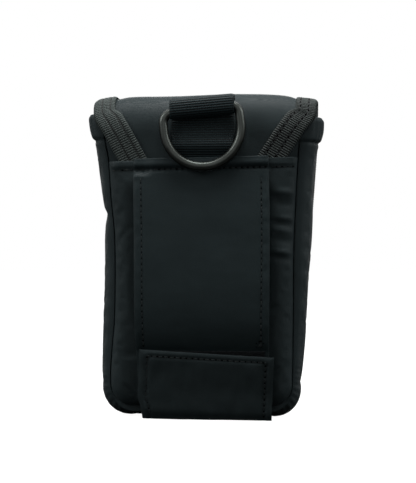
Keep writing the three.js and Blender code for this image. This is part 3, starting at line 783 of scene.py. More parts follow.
def gusset_face(u, v):
    """u from the front seam to the back seam, v round the pouch from the left ear to the right one."""
    seam, out, run = round_path(v, seam_half, SEAM_FOOT, EAR_TOP, SEAM_CORNER)
    side = LEFT if v < 0.5 else RIGHT
    across = 2 * u - 1
    y = lerp(FRONT_SEAM, BACK_SEAM, u) + 0.0006 * across
    under = eased((0.022 - seam.z) / 0.014)
    dome = max(1 - abs(across) ** lerp(2.4, 2.0, under), 0.0) ** lerp(0.45, 0.58, under)
    body = clamped(dome * 2.5)
    low_corner = near(seam.z - 0.008, 0.011) * near(abs(seam.x) - 0.036, 0.012)
    gather = low_corner * ripple(run + 0.0022 * across, 0.0024) * abs(across) ** 1.5
    puckers = near(abs(across) - 0.84, 0.24) * crumple((seam.x, y * 0.3, seam.z), 0.006, 1.0)
    soft = crumple((seam.x * 0.5, y, seam.z * 0.6), 0.021, 3.0)
    reach = seam_swell(seam, out, side) * dome
    reach += (0.0007 * gather - 0.0004 * low_corner + 0.0004 * puckers + 0.0006 * soft) * body
    ear = eased((EAR_HEM[side] - run) / 0.0015)
    reach += 0.0005 * ear * clamped(dome * 6)
    reach -= seam_dip(run - EAR_HEM[side], y, 0.0010) * body
    reach -= 0.0010 * near(run, 0.0009) * body
    gathered = near(run - 0.004, 0.0055)
    reach -= 0.0007 * gathered * ripple(y + 0.0004, 0.0024) * body
    y += 0.0005 * ear * max(across, -0.2)
    lift = Vector((0, 0, EAR_LIFT[side] * eased((seam.z - 0.118) / (EAR_TOP - 0.118))))
    return seam + Vector((0, y, 0)) + out * reach + lift


def make_gusset():
    band = laid(
        "gusset_band", gusset_face, (GUSSET_WIDTH, GUSSET_RUN), (48, FINE_GRID), NYLON, (0, 0, -1),
        wall=0.0010, rounding=0.0003,
    )

    def pinned(place):
        return abs(place.y) > BACK_SEAM - 0.0008 or place.z > EAR_TOP - 0.016

    padded_cloth(band, "gusset", pinned, fill=0.4, pressure=0.4, slack=0.003, cap=0.0003)


# Panels: what the back and front covers, their foam and their backing share

def panel_half(side, z, foot, inset=COVER_INSET):
    """Half width of a panel with rounded lower corners."""
    past = clamped((foot + COVER_CORNER - z) / COVER_CORNER) * COVER_CORNER
    straight = seam_half(side, max(z, foot + COVER_CORNER)) - inset
    return straight - COVER_CORNER + math.sqrt(max(COVER_CORNER**2 - past**2, 0.0))


def panel_edge(x, z, foot):
    """Distance in from the sewn edge of a panel: its two sides and its rounded foot."""
    side = seam_half(side_of(x), max(z, foot + COVER_CORNER)) - COVER_INSET - abs(x)
    rise = z - foot
    if side < COVER_CORNER and rise < COVER_CORNER:
        return COVER_CORNER - math.hypot(COVER_CORNER - side, COVER_CORNER - rise)
    return min(side, rise)


def rounded(edge, radius):
    """How far a padded face has risen at a distance in from its edge, from 0 to 1."""
    return math.sqrt(1 - (1 - min(edge / radius, 1)) ** 2)


def panel_place(u, v, foot, top, inset=COVER_INSET):
    """Width and height on a panel, with more rows of the grid near its rounded foot."""
    z = lerp(foot, top, v**1.25 if v > 0 else 0.0)
    return lerp(-panel_half(RIGHT, z, foot, inset), panel_half(LEFT, z, foot, inset), u), z


# Back cover, with its hem

# Puckers beside the right seam of the cover: height, half width, and how far each stands out or in
PUCKERS = [
    (0.1008, 0.0013, 0.0007), (0.0958, 0.0024, -0.0007), (0.0893, 0.0011, 0.0005),
    (0.0868, 0.0013, -0.0004), (0.0838, 0.0010, 0.0004), (0.0795, 0.0018, -0.0005),
    (0.0742, 0.0012, 0.0006), (0.0716, 0.0014, -0.0004),
]


def hem_line(x):
    return HEM_STITCH + HEM_SLOPE * x


def hem_tilt(x, v):
    """How far the top rows of a sheet tilt, as the hem does."""
    return HEM_SLOPE * x * eased((v - 0.9) / 0.1)


def cover_face(x, z):
    edge = max(panel_edge(x, z, COVER_FOOT), 0.0)
    rise = rounded(edge, COVER_ROUND)
    belly = (1 - (x / 0.05) ** 2) * near(z - 0.055, 0.040)
    soft = crumple((x, 0, z * 0.45), 0.013, 7.0)
    beside_strap = near(abs(x) - 0.0265, 0.0065) * eased((0.106 - z) / 0.010)
    y = lerp(BACK_SEAM + 0.0004, BACK_FACE - 0.0004, rise)
    y += rise * (0.0009 * belly + 0.0005 * soft - 0.0018 * beside_strap)
    if x < 0:
        for height, tall, stand in PUCKERS:
            fold = near(z - height - 0.10 * (edge - 0.004), tall)
            y += stand * fold * near(edge - 0.0035, 0.0055) * rise
    y += 0.0003 * near(edge - 0.002, 0.002) * crumple((x, 1, z), 0.0042, 9.0)
    above = z - hem_line(x)
    hem = eased(above / 0.0014) * eased((edge + 0.001) / 0.003)
    y += 0.0005 * hem * (1 - 0.6 * near(z - HEM_TOP, 0.001))
    y -= seam_dip(above, x, 0.00045) * eased(edge / 0.003)
    y += 0.00025 * near(above - 0.002, 0.002) * crumple((x, 0, 0), 0.004, 10.0)
    return Vector((x, y, z))


def cover_sheet(u, v):
    x, z = panel_place(u, v, COVER_FOOT, HEM_TOP)
    return cover_face(x, z + hem_tilt(x, v))


def make_back_cover():
    size = (PANEL_WIDTH, HEM_TOP - COVER_FOOT)
    cover = laid(
        "back_cover", cover_sheet, size, (CLOTH_GRID, CLOTH_GRID), NYLON, (0, 1, 0), rounding=0.0003
    )

    def pinned(place):
        edge = panel_edge(place.x, place.z, COVER_FOOT)
        return edge < 0.0014 or place.z > hem_line(place.x) - 0.0012

    padded_cloth(cover, "back_overlay", pinned, fill=0.5, pressure=0.5, slack=0.003, cap=0.00032)
    beside_strap = [(0.0405, 0.0350, 0.0290, 0.0225), (-0.0308, -0.0350, -0.0405)]
    rows = [(cover_face, [(x, hem_line(x)) for x in places]) for places in beside_strap]
    stitched("hem_stitches", rows, "pouch", "nylon")


# Back shell, seen between the tapes, the hem and the ears

def make_back_shell():
    foot, top = low("back_panel", "z"), high("back_panel", "z")

    def sheet(u, v):
        x, z = panel_place(u, v, foot, top, 0.0006)
        side = seam_half(side_of(x), z) - abs(x)
        soft = 0.0003 * crumple((x, 2, z), 0.012, 4.0)
        return Vector((x, SHELL_FACE + soft - 0.0009 * near(side, 0.004), z))

    cut_cloth(
        "back_shell", sheet, (SHELL_WIDTH, top - foot), (60, 90), NYLON, (0, 1, 0),
        ("pouch", "nylon", "back_panel"), "stretched", "back_foam_pad", rounding=0.00025,
    )


# Front cover

def front_face(x, z):
    edge = max(panel_edge(x, z, low("front_panel", "z")), 0.0)
    rise = rounded(edge, FRONT_ROUND)
    belly = near(x, 0.03) * near(z - 0.045, 0.03)
    soft = crumple((x, 0, z * 0.5), 0.014, 11.0)
    puckers = near(edge - 0.002, 0.002) * crumple((x, 1, z), 0.0045, 13.0)
    y = lerp(FRONT_SEAM - 0.0004, FRONT_FACE + 0.0002, rise)
    y -= rise * (0.0006 * belly + 0.0005 * soft) + 0.0004 * puckers
    return Vector((x, y, z))


def make_front_cover():
    foot = low("front_panel", "z")
    patch_side, patch_foot = high("front_loop_patch", "x"), low("front_loop_patch", "z")

    def sheet(u, v):
        return front_face(*panel_place(u, v, foot, MOUTH))

    def pinned(place):
        edge = panel_edge(place.x, place.z, foot)
        behind_patch = abs(place.x) < patch_side + 0.001 and place.z > patch_foot - 0.001
        return edge < 0.0016 or place.z > MOUTH - 0.012 or behind_patch

    cover = laid(
        "front_cover", sheet, (PANEL_WIDTH, MOUTH - foot), (0.001, 0.001), NYLON, (0, -1, 0),
        rounding=0.00025,
    )
    padded_cloth(cover, "front_panel", pinned, fill=0.5, pressure=0.8, slack=0.008, cap=0.0007)


# Inside of the pocket: foam and lining

def inner_band(name, node, corner, finish, wall):
    """A band round the inside of the gusset, with its outer face on the box of its node."""
    first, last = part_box(node)

    def sheet(u, v):
        place = round_path(v, lambda side, z: last[0], first[2], last[2], corner)[0]
        return place + Vector((0, lerp(first[1], last[1], u), 0))

    size = (last[1] - first[1], 0.3)
    return laid(name, sheet, size, (10, 160), finish, (0, 0, -1), wall=wall, rounding=0.0002)


def inner_slab(name, node, way, inset, finish, wall):
    """A flat layer behind a cover, with rounded lower corners."""
    first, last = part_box(node)
    face = last[1] if way > 0 else first[1]

    def sheet(u, v):
        x, z = panel_place(u, v, first[2], last[2], inset)
        return Vector((x, face, z))

    size = (0.08, last[2] - first[2])
    return laid(name, sheet, size, (24, 36), finish, (0, way, 0), wall=wall, rounding=0.0002)


def make_inside():
    pad = high("front_foam", "y") - low("front_foam", "y")
    for slot, finish, slab, band, wall, band_wall, inset, corner, fill in (
        ("foam", FOAM, "pad", "strip", pad, 0.0026, 0.0014, 0.0100, 1.0),
        ("lining", LINING, "cloth", "cloth", LINING_WALL, LINING_WALL, 0.0035, 0.0075, 0.2),
    ):
        front, back, gusset = f"front_{slot}", f"back_{slot}", f"gusset_{slot}"
        pieces = [
            (front, inner_slab(f"{front}_{slab}", front, -1, inset, finish, wall)),
            (back, inner_slab(f"{back}_{slab}", back, 1, inset, finish, wall)),
            (gusset, inner_band(f"{gusset}_{band}", gusset, corner, finish, band_wall)),
        ]
        for node, piece in pieces:
            fitted(piece, "pouch", slot, node)


# Flap

def on_roll(angle):
    """A place on the oval from its middle, and its outward way, with the upright side towards +Y."""
    place = Vector((ROLL_DEPTH * math.cos(angle), ROLL_RISE * math.sin(angle)))
    return place, Vector((math.cos(angle) / ROLL_DEPTH, math.sin(angle) / ROLL_RISE)).normalized()


def flap_face(x, s):
    """Outer face of the flap at a width and at a length from the foot of the neck, over the roll."""
    drop = through(ROLL_DROP, x)
    soft = 0.00035 * crumple((x * 0.7, 0, s), 0.016, 21.0) * eased((s + 0.004) / 0.01)
    if s < ROLL_START:
        return Vector((x, NECK_FACE + soft, NECK_FOOT + s))
    if TOP_START <= s < TOP_END:
        return Vector((x, BACK_ROLL - (s - TOP_START), FLAP_TOP - drop + soft))
    if s >= FALL_START:
        return Vector((x, FALL_FACE - soft, ROLL_BASE - (s - FALL_START)))
    angle = at_length(ROLL_RUNS, ROLL_ANGLES, s - ROLL_START if s < TOP_START else FALL_START - s)
    place, out = on_roll(angle)
    place += out * soft
    height = ROLL_BASE + place.y - drop * math.sin(angle)
    if s < TOP_START:
        return Vector((x, BACK_ROLL + place.x, height))
    return Vector((x, FALL_FACE + ROLL_DEPTH - place.x, height))


def flap_half(side, s):
    """Half width of the flap's cloth: slanted neck, straight top, front fall with round corners."""
    slanted = NECK_HALF + NECK_SLOPE[side] * s
    over = slanted - FLAP_HALF[side]
    straight = slanted - 0.5 * (over + math.sqrt(over**2 + 4 * NECK_BEND**2))
    if s < FALL_START:
        return straight
    straight -= FLAP_TAPER * (s - FALL_START) / (FLAP_END - FALL_START)
    past = min(max(0.0, s - (FLAP_END - FLAP_CORNER)), FLAP_CORNER)
    return straight - FLAP_CORNER + math.sqrt(max(FLAP_CORNER**2 - past**2, 0))


def flap_width(u, s):
    return lerp(-flap_half(RIGHT, s), flap_half(LEFT, s), u)


OUTER = (0, NYLON, FLAP_WALL, "nylon")
UNDER = (-FLAP_WALL - CLEAR, LINING, LINING_WALL, "lining")


def flap_cloth(name, layer, start, end, rests, *nodes, area=None):
    """A layer of the flap: over the roll as far as the middle of the top, or from there to its end."""
    height, finish, wall, slot = layer
    hanging = start == TOP_MIDDLE

    def sheet(u, v):
        s = lerp(start, end, v)
        return lifted(flap_face, flap_width(u, s), s, height)

    cut_cloth(
        name, sheet, (FLAP_WIDTH, end - start), (0.0012, 0.0009), finish, (0, -1 if hanging else 1, 0),
        (bend_at_fall if hanging else bend_at_lift, slot, *nodes), "folded", rests, area,
        wall=wall, rounding=0.0002,
    )


def make_flap():
    back, lining, front = (-NECK_TUCK, TOP_MIDDLE), (ROLL_START, TOP_MIDDLE), (TOP_MIDDLE, FLAP_END)
    flap_cloth("flap_cloth_back", OUTER, *back, "back_shell", "flap_neck", "flap_top", area=0.0043)
    flap_cloth("flap_cloth_front", OUTER, *front, "flap_cloth_back", "flap_front", area=0.0076)
    flap_cloth("flap_lining_back", UNDER, *lining, "flap_cloth_back", "flap_top_lining")
    flap_cloth(
        "flap_lining_front", UNDER, *front, "flap_cloth_front", "flap_front_lining", area=0.0076
    )


# Binding tapes of the flap

def tape_section(share):
    """A place across a tape folded over an edge: its reach in from the edge, height and outward way."""
    top, foot = TAPE_PROUD, -FLAP_STACK - TAPE_PROUD
    fold = (top - foot) / 2
    arm = TAPE_WIDTH
    run = share * (2 * arm + math.pi * fold)
    if run < arm:
        return arm - run, top - 0.0004 * near(run, 0.0007), Vector((0, 1)), arm - run
    if run < arm + math.pi * fold:
        angle = (run - arm) / fold
        way = Vector((-math.sin(angle), math.cos(angle)))
        return way.x * fold * 0.35, (top + foot) / 2 + way.y * fold, way, 0.0
    inward = run - arm - math.pi * fold
    return inward, foot, Vector((0, -1)), inward


def tape_relief(inward, run):
    """Ribs across a tape in three bands, with the grooves between them: the tape's raised shape, and
    its painted shade, darkest in the grooves and between the ribs.
    """
    groove = max(near(inward - place, 0.00035) for place in TAPE_GROOVES)
    band = sum(inward > place for place in TAPE_GROOVES)
    rib = ripple(run + (0.0, 0.5, 0.0)[band] * TAPE_RIB + 0.06 * inward, TAPE_RIB)
    return rib * (1 - groove)


def narrowed(s):
    """How much of its width a tape keeps: it gathers where it turns over the top."""
    return 1.02 - 0.20 * eased((s - ROLL_START - 0.003) / 0.010)


def flap_tape(name, stops, length, where, rests, *nodes, grid=RIB_GRID):
    """A tape over the flap's edge. stops(run) gives a width and length on the flap, and the way in."""

    def sheet(u, v):
        run = v * length
        x, s, way_in = stops(run)
        inward, height, out, flat = tape_section(u)
        relief = TAPE_DEPTH * (tape_relief(flat, run) - 0.3)
        spread = inward * narrowed(s) + out.x * relief
        at_x, at_s = x + way_in[0] * spread, s + way_in[1] * spread
        return lifted(flap_face, at_x, at_s, height + out.y * relief)

    cut_cloth(
        name, sheet, (TAPE_FLAT, length), (46, grid), TAPE, (0, 0, 0), (where, "ribbed_tape", *nodes),
        "folded", rests, wall=TAPE_WALL,
        # The rib values also paint shade between the ribs and in the grooves, through the tape's
        # material.
        ribs=lambda u, v: tape_relief(tape_section(u)[3], v * length),
    )


def on_tape(x, s):
    return lifted(flap_face, x, s, TAPE_PROUD)


def edge_way(side, s, step=0.0004):
    """Inward direction on the cloth, square to the flap's edge."""
    slope = (flap_half(side, s + step) - flap_half(side, s - step)) / (2 * step)
    run = math.hypot(1, slope)
    return (-side / run, slope / run)


def edge_table(side, start, end, step=0.0001):
    """Lengths along one edge of the flap, and the length on its cloth at each of them."""
    runs, places = [0.0], [start]
    while places[-1] < end:
        before, after = places[-1], min(places[-1] + step, end)
        wider = flap_half(side, after) - flap_half(side, before)
        runs.append(runs[-1] + math.hypot(after - before, wider))
        places.append(after)
    return runs, places


def make_flap_tapes():
    for side, word in ((LEFT, "left"), (RIGHT, "right")):
        neck = edge_table(side, -NECK_TUCK, TOP_MIDDLE)
        length = neck[0][-1]

        def stops(run, side=side, neck=neck):
            s = at_length(*neck, run)
            return side * flap_half(side, s), s, edge_way(side, s)

        nodes = (f"neck_tape_{word}", f"flap_top_tape_{word}")
        flap_tape(f"flap_tape_{word}", stops, length, bend_at_lift, "flap_cloth_back", *nodes)
        rows = []
        for groove in TAPE_GROOVES:
            line = []
            for x, s, way in (stops(length * k / 40) for k in range(41)):
                reach = groove * narrowed(s)
                line.append((x + way[0] * reach, s + way[1] * reach))
            rows.append((on_tape, line))
        stitched(f"flap_tape_stitches_{word}", rows, bend_at_lift, "nylon", height=0.0)

    tables = {side: edge_table(side, TOP_MIDDLE, FLAP_END - 0.0001, 0.00005) for side in (LEFT, RIGHT)}
    down, up = tables[LEFT][0][-1], tables[RIGHT][0][-1]
    foot = flap_half(LEFT, FLAP_END) + flap_half(RIGHT, FLAP_END)
    total = down + foot + up

    def round_stops(run):
        if down <= run <= down + foot:
            return flap_half(LEFT, FLAP_END) - (run - down), FLAP_END, (0.0, -1.0)
        side = LEFT if run < down else RIGHT
        s = at_length(*tables[side], run if side == LEFT else total - run)
        return side * flap_half(side, s), s, edge_way(side, min(s, FLAP_END - 0.0005))

    flap_tape(
        "flap_tape_front", round_stops, total, bend_at_fall, "flap_cloth_front", "flap_edge_tape",
        grid=COARSE_RIB_GRID,
    )


# Mouth binding

def make_mouth_binding():
    outside, inside = low("mouth_binding", "y"), high("mouth_binding", "y")
    top, foot = high("mouth_binding", "z"), low("mouth_binding", "z")
    fold = (inside - outside) / 2
    arm = top - foot - MOUTH_FOLD
    length = 2 * MOUTH_HALF

    def sheet(u, v):
        run = u * (2 * arm + math.pi * fold)
        x = lerp(MOUTH_HALF, -MOUTH_HALF, v)
        relief = 0.0001 * ripple(v * length, TAPE_RIB)
        if run < arm:
            return Vector((x, outside - relief, foot + run))
        if run < arm + math.pi * fold:
            angle = (run - arm) / fold
            y = (outside + inside) / 2 - (fold + relief) * math.cos(angle)
            return Vector((x, y, foot + arm + (MOUTH_FOLD + relief) * math.sin(angle)))
        return Vector((x, inside + relief, foot + arm - (run - arm - math.pi * fold)))

    cut_cloth(
        "mouth_tape", sheet, (MOUTH_TAPE, length), (40, COARSE_RIB_GRID), TAPE, (0, 0, 1),
        ("pouch", "ribbed_tape", "mouth_binding"), "folded", "front_cover",
        # The rib values paint shade between the ribs, through the tape's material.
        wall=TAPE_WALL, ribs=lambda u, v: ripple(v * length, TAPE_RIB),
    )


# Webbing and the loop that holds the ring

def webbing_relief(across, run):
    edge = near(abs(across) - WEBBING_HALF, 0.0008)
    return 0.00022 * ripple(run, WEBBING_RIB) * (1 - edge) - 0.0002 * edge


def add_webbing(name, sheet, length, outward, node, held, rests):
    cut_cloth(
        name, sheet, (2 * WEBBING_HALF, length), (44, RIB_GRID), WEBBING, outward,
        ("pouch", "webbing", node), held, rests,
        # The rib values paint shade between the ribs, through the webbing's material.
        wall=WEBBING_WALL, ribs=lambda u, v: ripple(v * length, WEBBING_RIB),
    )


def make_webbing():
    length = WEBBING_END - WEBBING_FOOT

    def sheet(u, v):
        s = WEBBING_FOOT + v * length
        across = (2 * u - 1) * (WEBBING_HALF - 0.0006 * eased((ROLL_START - s) / 0.004))
        bow = WEBBING_BOW * near(s - 0.0060, 0.0045)
        sunk = 0.0009 * eased((s - WEBBING_END + 0.005) / 0.005)
        height = CLEAR + WEBBING_WALL + bow - sunk + webbing_relief(across, v * length)
        return lifted(flap_face, across + WEBBING_SHIFT, s, height)

    add_webbing(
        "webbing_back", sheet, length, (0, 1, 0), "webbing_strip", "stretched", "flap_cloth_back"
    )


def loop_line():
    """The loop's outer side: from its seam on the roll, out and down round the bar of the ring."""
    hub = Vector((HINGE["ring_swing"].y, HINGE["ring_swing"].z))
    radius = WIRE + CLEAR + WEBBING_WALL
    place, out = on_roll(LOOP_TOP)
    seam = Vector((BACK_ROLL, ROLL_BASE)) + place + out * (0.0014 + 2 * CLEAR + WEBBING_WALL)
    front = hub + Vector((radius, 0))
    bulge = Vector((front.x, seam.y + LOOP_BULGE))
    line = []
    for k in range(24):
        share = k / 24
        top, side = seam.lerp(bulge, share**0.6), front.lerp(bulge, (1 - share) ** 0.6)
        line.append(top.lerp(side, share))
    for k in range(41):
        angle = lerp(0.0, LOOP_END, k / 40)
        line.append(hub + radius * Vector((math.cos(angle), math.sin(angle))))
    return line


def make_loop():
    line = loop_line()
    runs = lengths_to(line)
    total = runs[-1]

    def face(x, run):
        leg, share = leg_at(runs, run)
        way = (line[leg + 1] - line[leg]).normalized()
        out = Vector((-way.y, way.x))
        relief = webbing_relief(x - WEBBING_SHIFT, run) - 0.0006 * near(run - LOOP_SEAM, 0.0007)
        at = line[leg].lerp(line[leg + 1], share) + out * relief
        turn = (x - WEBBING_SHIFT) * math.tan(LOOP_TURN) * eased(run / 0.008)
        return Vector((x, at.x, at.y - turn - 0.0004 * (1 - eased(run / 0.006))))

    def sheet(u, v):
        return face((2 * u - 1) * WEBBING_HALF + WEBBING_SHIFT, v * total)

    add_webbing("webbing_loop", sheet, total, (0, 1, 0.2), "ring_keeper", "folded", "webbing_back")
    ends = [(side * WEBBING_HALF * 0.92 + WEBBING_SHIFT, LOOP_SEAM) for side in (LEFT, RIGHT)]
    stitched("loop_stitches", [(face, ends)], "pouch", "webbing", length=0.0022)


def make_ring():
    """A ring of round wire: bar, tight corners, straight sides and a round end."""
    shape = bmesh.new()
    hub = HINGE["ring_swing"]
    upright = Matrix.Rotation(math.pi / 2, 4, "Y")
    bmesh.ops.create_circle(shape, segments=28, radius=WIRE, matrix=upright)
    end = shape.verts[:] + shape.edges[:]
    side = RING_DROP - RING_HALF - RING_CORNER
    bar = RING_HALF - RING_CORNER
    # The legs of the wire: the middle and angle of a turn, the way of a straight leg, and the steps
    for middle, angle, way, steps in (
        ((0, 0, 0), 0, (bar, 0, 0), 3),
        ((bar, 0, -RING_CORNER), math.pi / 2, (0, 0, 0), 8),
        ((0, 0, 0), 0, (0, 0, -side), 2),
        ((0, 0, -RING_CORNER - side), math.pi, (0, 0, 0), 48),
        ((0, 0, 0), 0, (0, 0, side), 2),
        ((-bar, 0, -RING_CORNER), math.pi / 2, (0, 0, 0), 8),
        ((0, 0, 0), 0, (bar, 0, 0), 3),
    ):
        leg = {"cent": middle, "axis": (0, 1, 0), "angle": angle, "dvec": Vector(way) / steps}
        end = bmesh.ops.spin(shape, geom=end, steps=steps, **leg)["geom_last"]
    bmesh.ops.remove_doubles(shape, verts=shape.verts[:], dist=1e-6)
    bmesh.ops.recalc_face_normals(shape, faces=shape.faces[:])
    lean = math.asin((high("d_ring", "y") - WIRE - hub.y) / RING_DROP)
    centre = Matrix.Translation((RING_SHIFT, 0, -RING_DROP / 2))
    turn = Matrix.Rotation(lean, 4, "X") @ centre @ Matrix.Rotation(RING_TURN, 4, "Y")
    back = Matrix.Translation((0, 0, RING_DROP / 2))
    bmesh.ops.transform(shape, matrix=Matrix.Translation(hub) @ turn @ back, verts=shape.verts[:])
    fitted(shaped("ring_wire", shape, METAL), "ring", "dark_metal", "d_ring")


# Belt strap

def strap_back(z):
    end = BACK_FACE + STRAP_END_GAP
    lap = end + (LAP_TOP - STRAP_FOOT) * LAP_LEAN
    if z < LAP_TOP:
        return lap - (LAP_TOP - z) * LAP_LEAN
    share = clamped((STRAP_HINGE - z) / (STRAP_HINGE - LAP_TOP))
    bow = STRAP_BOW * (1 - (1 - share) ** 2) * (1 - share**8)
    return lerp(BACK_FACE + CLEAR, lap, share) + bow


def strap_edge(side, z):
    return through(STRAP_EDGE[side], z)


def strap_width(u, z, inset=0.0):
    return lerp(strap_edge(RIGHT, z) + inset, strap_edge(LEFT, z) - inset, u)


def strap_face(x, z):
    """Outer face of the belt strap, from its head over the hem down to its end under the tab."""
    edge = min(strap_edge(LEFT, z) - x, x - strap_edge(RIGHT, z))
    above = z - hem_line(x)
    head = near(above - 0.0022, 0.0016)
    head_end = eased((above + 0.0034) / 0.0028) * eased((x - 0.0205) / 0.0060)
    soft = crumple((x * 0.6, 0, z * 0.8), 0.011, 31.0) * eased(-above / 0.01)
    fine = crumple((x * 0.5, 0, z), 0.004, 33.0)
    puckers = near(edge - 0.0018, 0.0012) * crumple((x, 0, z), 0.004, 35.0)
    y = strap_back(min(z, STRAP_HINGE)) + STRAP_WALL
    y += 0.0006 * head + 0.00022 * soft + 0.00005 * fine + 0.00028 * puckers
    y -= 0.0013 * head_end + 0.0005 * near(edge, 0.0009)
    y -= seam_dip(above, x, 0.0009) * eased(edge / 0.002)
    y -= seam_dip(edge - EDGE_SEAM, z, 0.00028) * eased((-0.003 - above) / 0.002)
    return Vector((x, y, z))


def make_strap():
    def sheet(u, v):
        z = lerp(STRAP_FOOT, STRAP_TOP, v)
        x = strap_width(u, z)
        return strap_face(x, z + hem_tilt(x, v))

    # The strap's cloth takes the darker copy of the nylon: painted shade.
    cut_cloth(
        "belt_strap_cloth", sheet, (STRAP_WIDTH, STRAP_TOP - STRAP_FOOT), (FINE_GRID, FINE_GRID),
        SHADED_STRAP_NYLON, (0, 1, 0), (bend_at_strap, "nylon", "belt_strap", "strap_head"), "hung",
        "back_cover", wall=STRAP_WALL, rounding=0.0003,
    )

    def under(u, v):
        z = lerp(STRAP_FOOT + 0.001, high("strap_lining", "z"), v)
        return Vector((strap_width(u, z, 0.001), strap_back(z) - CLEAR, z))

    cut_cloth(
        "belt_strap_lining", under, STRAP_LINING, (40, 60), LINING, (0, 1, 0),
        ("strap", "lining", "strap_lining"), "hung", "belt_strap_cloth", wall=LINING_WALL,
    )

    # Stitches down both sides and across the head, and a bar tack at the lower right corner
    rows = []
    for side in (LEFT, RIGHT):
        places = [lerp(0.1075, 0.033, k / 30) for k in range(31)]
        rows.append((strap_face, [(strap_edge(side, z) - side * EDGE_SEAM, z) for z in places]))
    across = [lerp(0.0215, -0.0285, k / 12) for k in range(13)]
    rows.append((strap_face, [(x, hem_line(x)) for x in across]))
    tack = Vector((strap_edge(RIGHT, TACK_HEIGHT) + EDGE_SEAM + 0.0004, TACK_HEIGHT))
    for way in ((1, 0.6), (-1, 0.7), (0.2, 1), (1, -0.4)):
        half = Vector(way).normalized() * 0.0018
        rows.append((strap_face, [tuple(tack - half), tuple(tack + half)], 0.0003))
    stitched("strap_stitches", rows, bend_at_strap, "nylon")


# Belt tab

def tab_edge(side, rise):
    return through(TAB_EDGE[side], rise)


def tab_face(x, rise):
    """Outer face of the tab: rise is the height above its fold."""
    left, right = tab_edge(LEFT, rise), tab_edge(RIGHT, rise)
    over = (2 * x - left - right) / (left - right)
    share = rise / TAB_TOP
    fold = 0.00055 + 0.00045 * over
    z = fold + share * (TAB_TOP + TAB_TILT * over - fold)
    side, below = min(left - x, x - right), TAB_TOP - rise
    loose = (0.0010 - 0.0006 * over) * eased((share - 0.35) / 0.65)
    soft = crumple((x, 0, rise), 0.008, 41.0)
    creases = crumple((x, 0, rise * 0.4), 0.0035, 43.0)
    y = strap_back(0.0004) + (0.0004 + rise) * LAP_LEAN + TAB_OFF + loose
    y += 0.00030 * soft + 0.00018 * creases
    y -= 0.0011 * near(rise, 0.0022) + 0.0004 * near(min(side, below), 0.0009)
    y -= seam_dip(side - EDGE_SEAM, rise, 0.0005) * eased((below - TAB_SEAM) / 0.001)
    y -= seam_dip(below - TAB_SEAM, x, 0.0005) * eased((side - EDGE_SEAM) / 0.001)
    return Vector((x, y, z))


def make_tab():
    anchor_y, anchor_z = low("tab_anchor", "y"), high("tab_anchor", "z") - 0.0008
    length = TAB_TOP + TAB_TUCK

    def sheet(u, v):
        run = v * length
        rise = max(run - TAB_TUCK, 0.0)
        x = lerp(tab_edge(RIGHT, rise), tab_edge(LEFT, rise), u)
        if run > TAB_TUCK:
            return tab_face(x, rise)
        foot = tab_face(x, 0)
        share = 1 - run / TAB_TUCK
        y = lerp(foot.y, anchor_y + 0.001, share)
        z = lerp(foot.z, anchor_z, eased(share)) - 0.0006 * math.sin(math.pi * min(1, share * 3))
        return Vector((x * lerp(1, 0.96, share), y, max(z, 0.0003)))

    cut_cloth(
        "belt_tab_cloth", sheet, (TAB_WIDTH, length), (FINE_GRID, FINE_GRID), NYLON, (0, 1, 0),
        (bend_at_tab, "nylon", "belt_tab", "tab_anchor"), "folded", "belt_strap_cloth",
        wall=TAB_WALL, rounding=0.0003,
    )
    top = TAB_TOP - TAB_SEAM
    up = [lerp(0.002, top, k / 12) for k in range(13)]
    left, right = tab_edge(LEFT, top) - EDGE_SEAM, tab_edge(RIGHT, top) + EDGE_SEAM
    line = [(tab_edge(LEFT, rise) - EDGE_SEAM, rise) for rise in up]
    line += [(lerp(left, right, k / 20), top) for k in range(1, 20)]
    line += [(tab_edge(RIGHT, rise) + EDGE_SEAM, rise) for rise in reversed(up)]
    stitched("tab_stitches", [(tab_face, line)], "tab", "nylon")


# Fastener patches

def add_patch(name, node, body, rests, sheet, columns, outward):
    first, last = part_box(node)
    cut_cloth(
        name, sheet, (last[0] - first[0], last[2] - first[2]), (columns, 20), PILE, outward,
        (body, "fastener", node), "stretched", rests, wall=PILE_WALL, rounding=0.0001,
    )


def flap_patch(name, node, body, rests, face, outward):
    """A patch sewn on a face, all round its edge."""
    first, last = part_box(node)

    def sheet(u, v):
        return face(lerp(first[0], last[0], u), lerp(first[2], last[2], v))

    add_patch(name, node, body, rests, sheet, 50, outward)
    left, right = last[0] - PILE_SEAM, first[0] + PILE_SEAM
    foot, top = first[2] + PILE_SEAM, last[2] - PILE_SEAM
    line = [(left, foot), (left, top), (right, top), (right, foot), (left, foot)]
    stitched(f"{name}_stitches", [(face, line)], body, "fastener")


def lap_patch(name, node, body, rests):
    """A patch between the lower end of the strap and the tab."""
    first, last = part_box(node)
    stand = last[1] - strap_back(last[2]) - 0.0001

    def sheet(u, v):
        z = lerp(first[2] + 0.0001, last[2], v)
        return Vector((strap_width(u, z, 0.0018), strap_back(z) + stand, z))

    add_patch(name, node, body, rests, sheet, 40, (0, 1, 0))


def make_patches():
    def on_front(x, z):
        return front_face(x, z) - Vector((0, 0.0009, 0))

    def in_flap(x, z):
        y = high("flap_hook_patch", "y") - 0.0001
        return Vector((x, y + 0.0001 * crumple((x, 0, z), 0.005, 51.0), z))

    flap_patch("flap_loop_pile", "front_loop_patch", "pouch", "front_cover", on_front, (0, -1, 0))
    flap_patch(
        "flap_hook_pile", "flap_hook_patch", "flap_fall", "flap_lining_front", in_flap, (0, 1, 0)
    )
    lap_patch("strap_loop_pile", "strap_loop_patch", "strap", "belt_strap_cloth")
    lap_patch("tab_hook_pile", "tab_hook_patch", "tab", "belt_tab_cloth")


# Studio

WORLD_LIGHT = 0.22

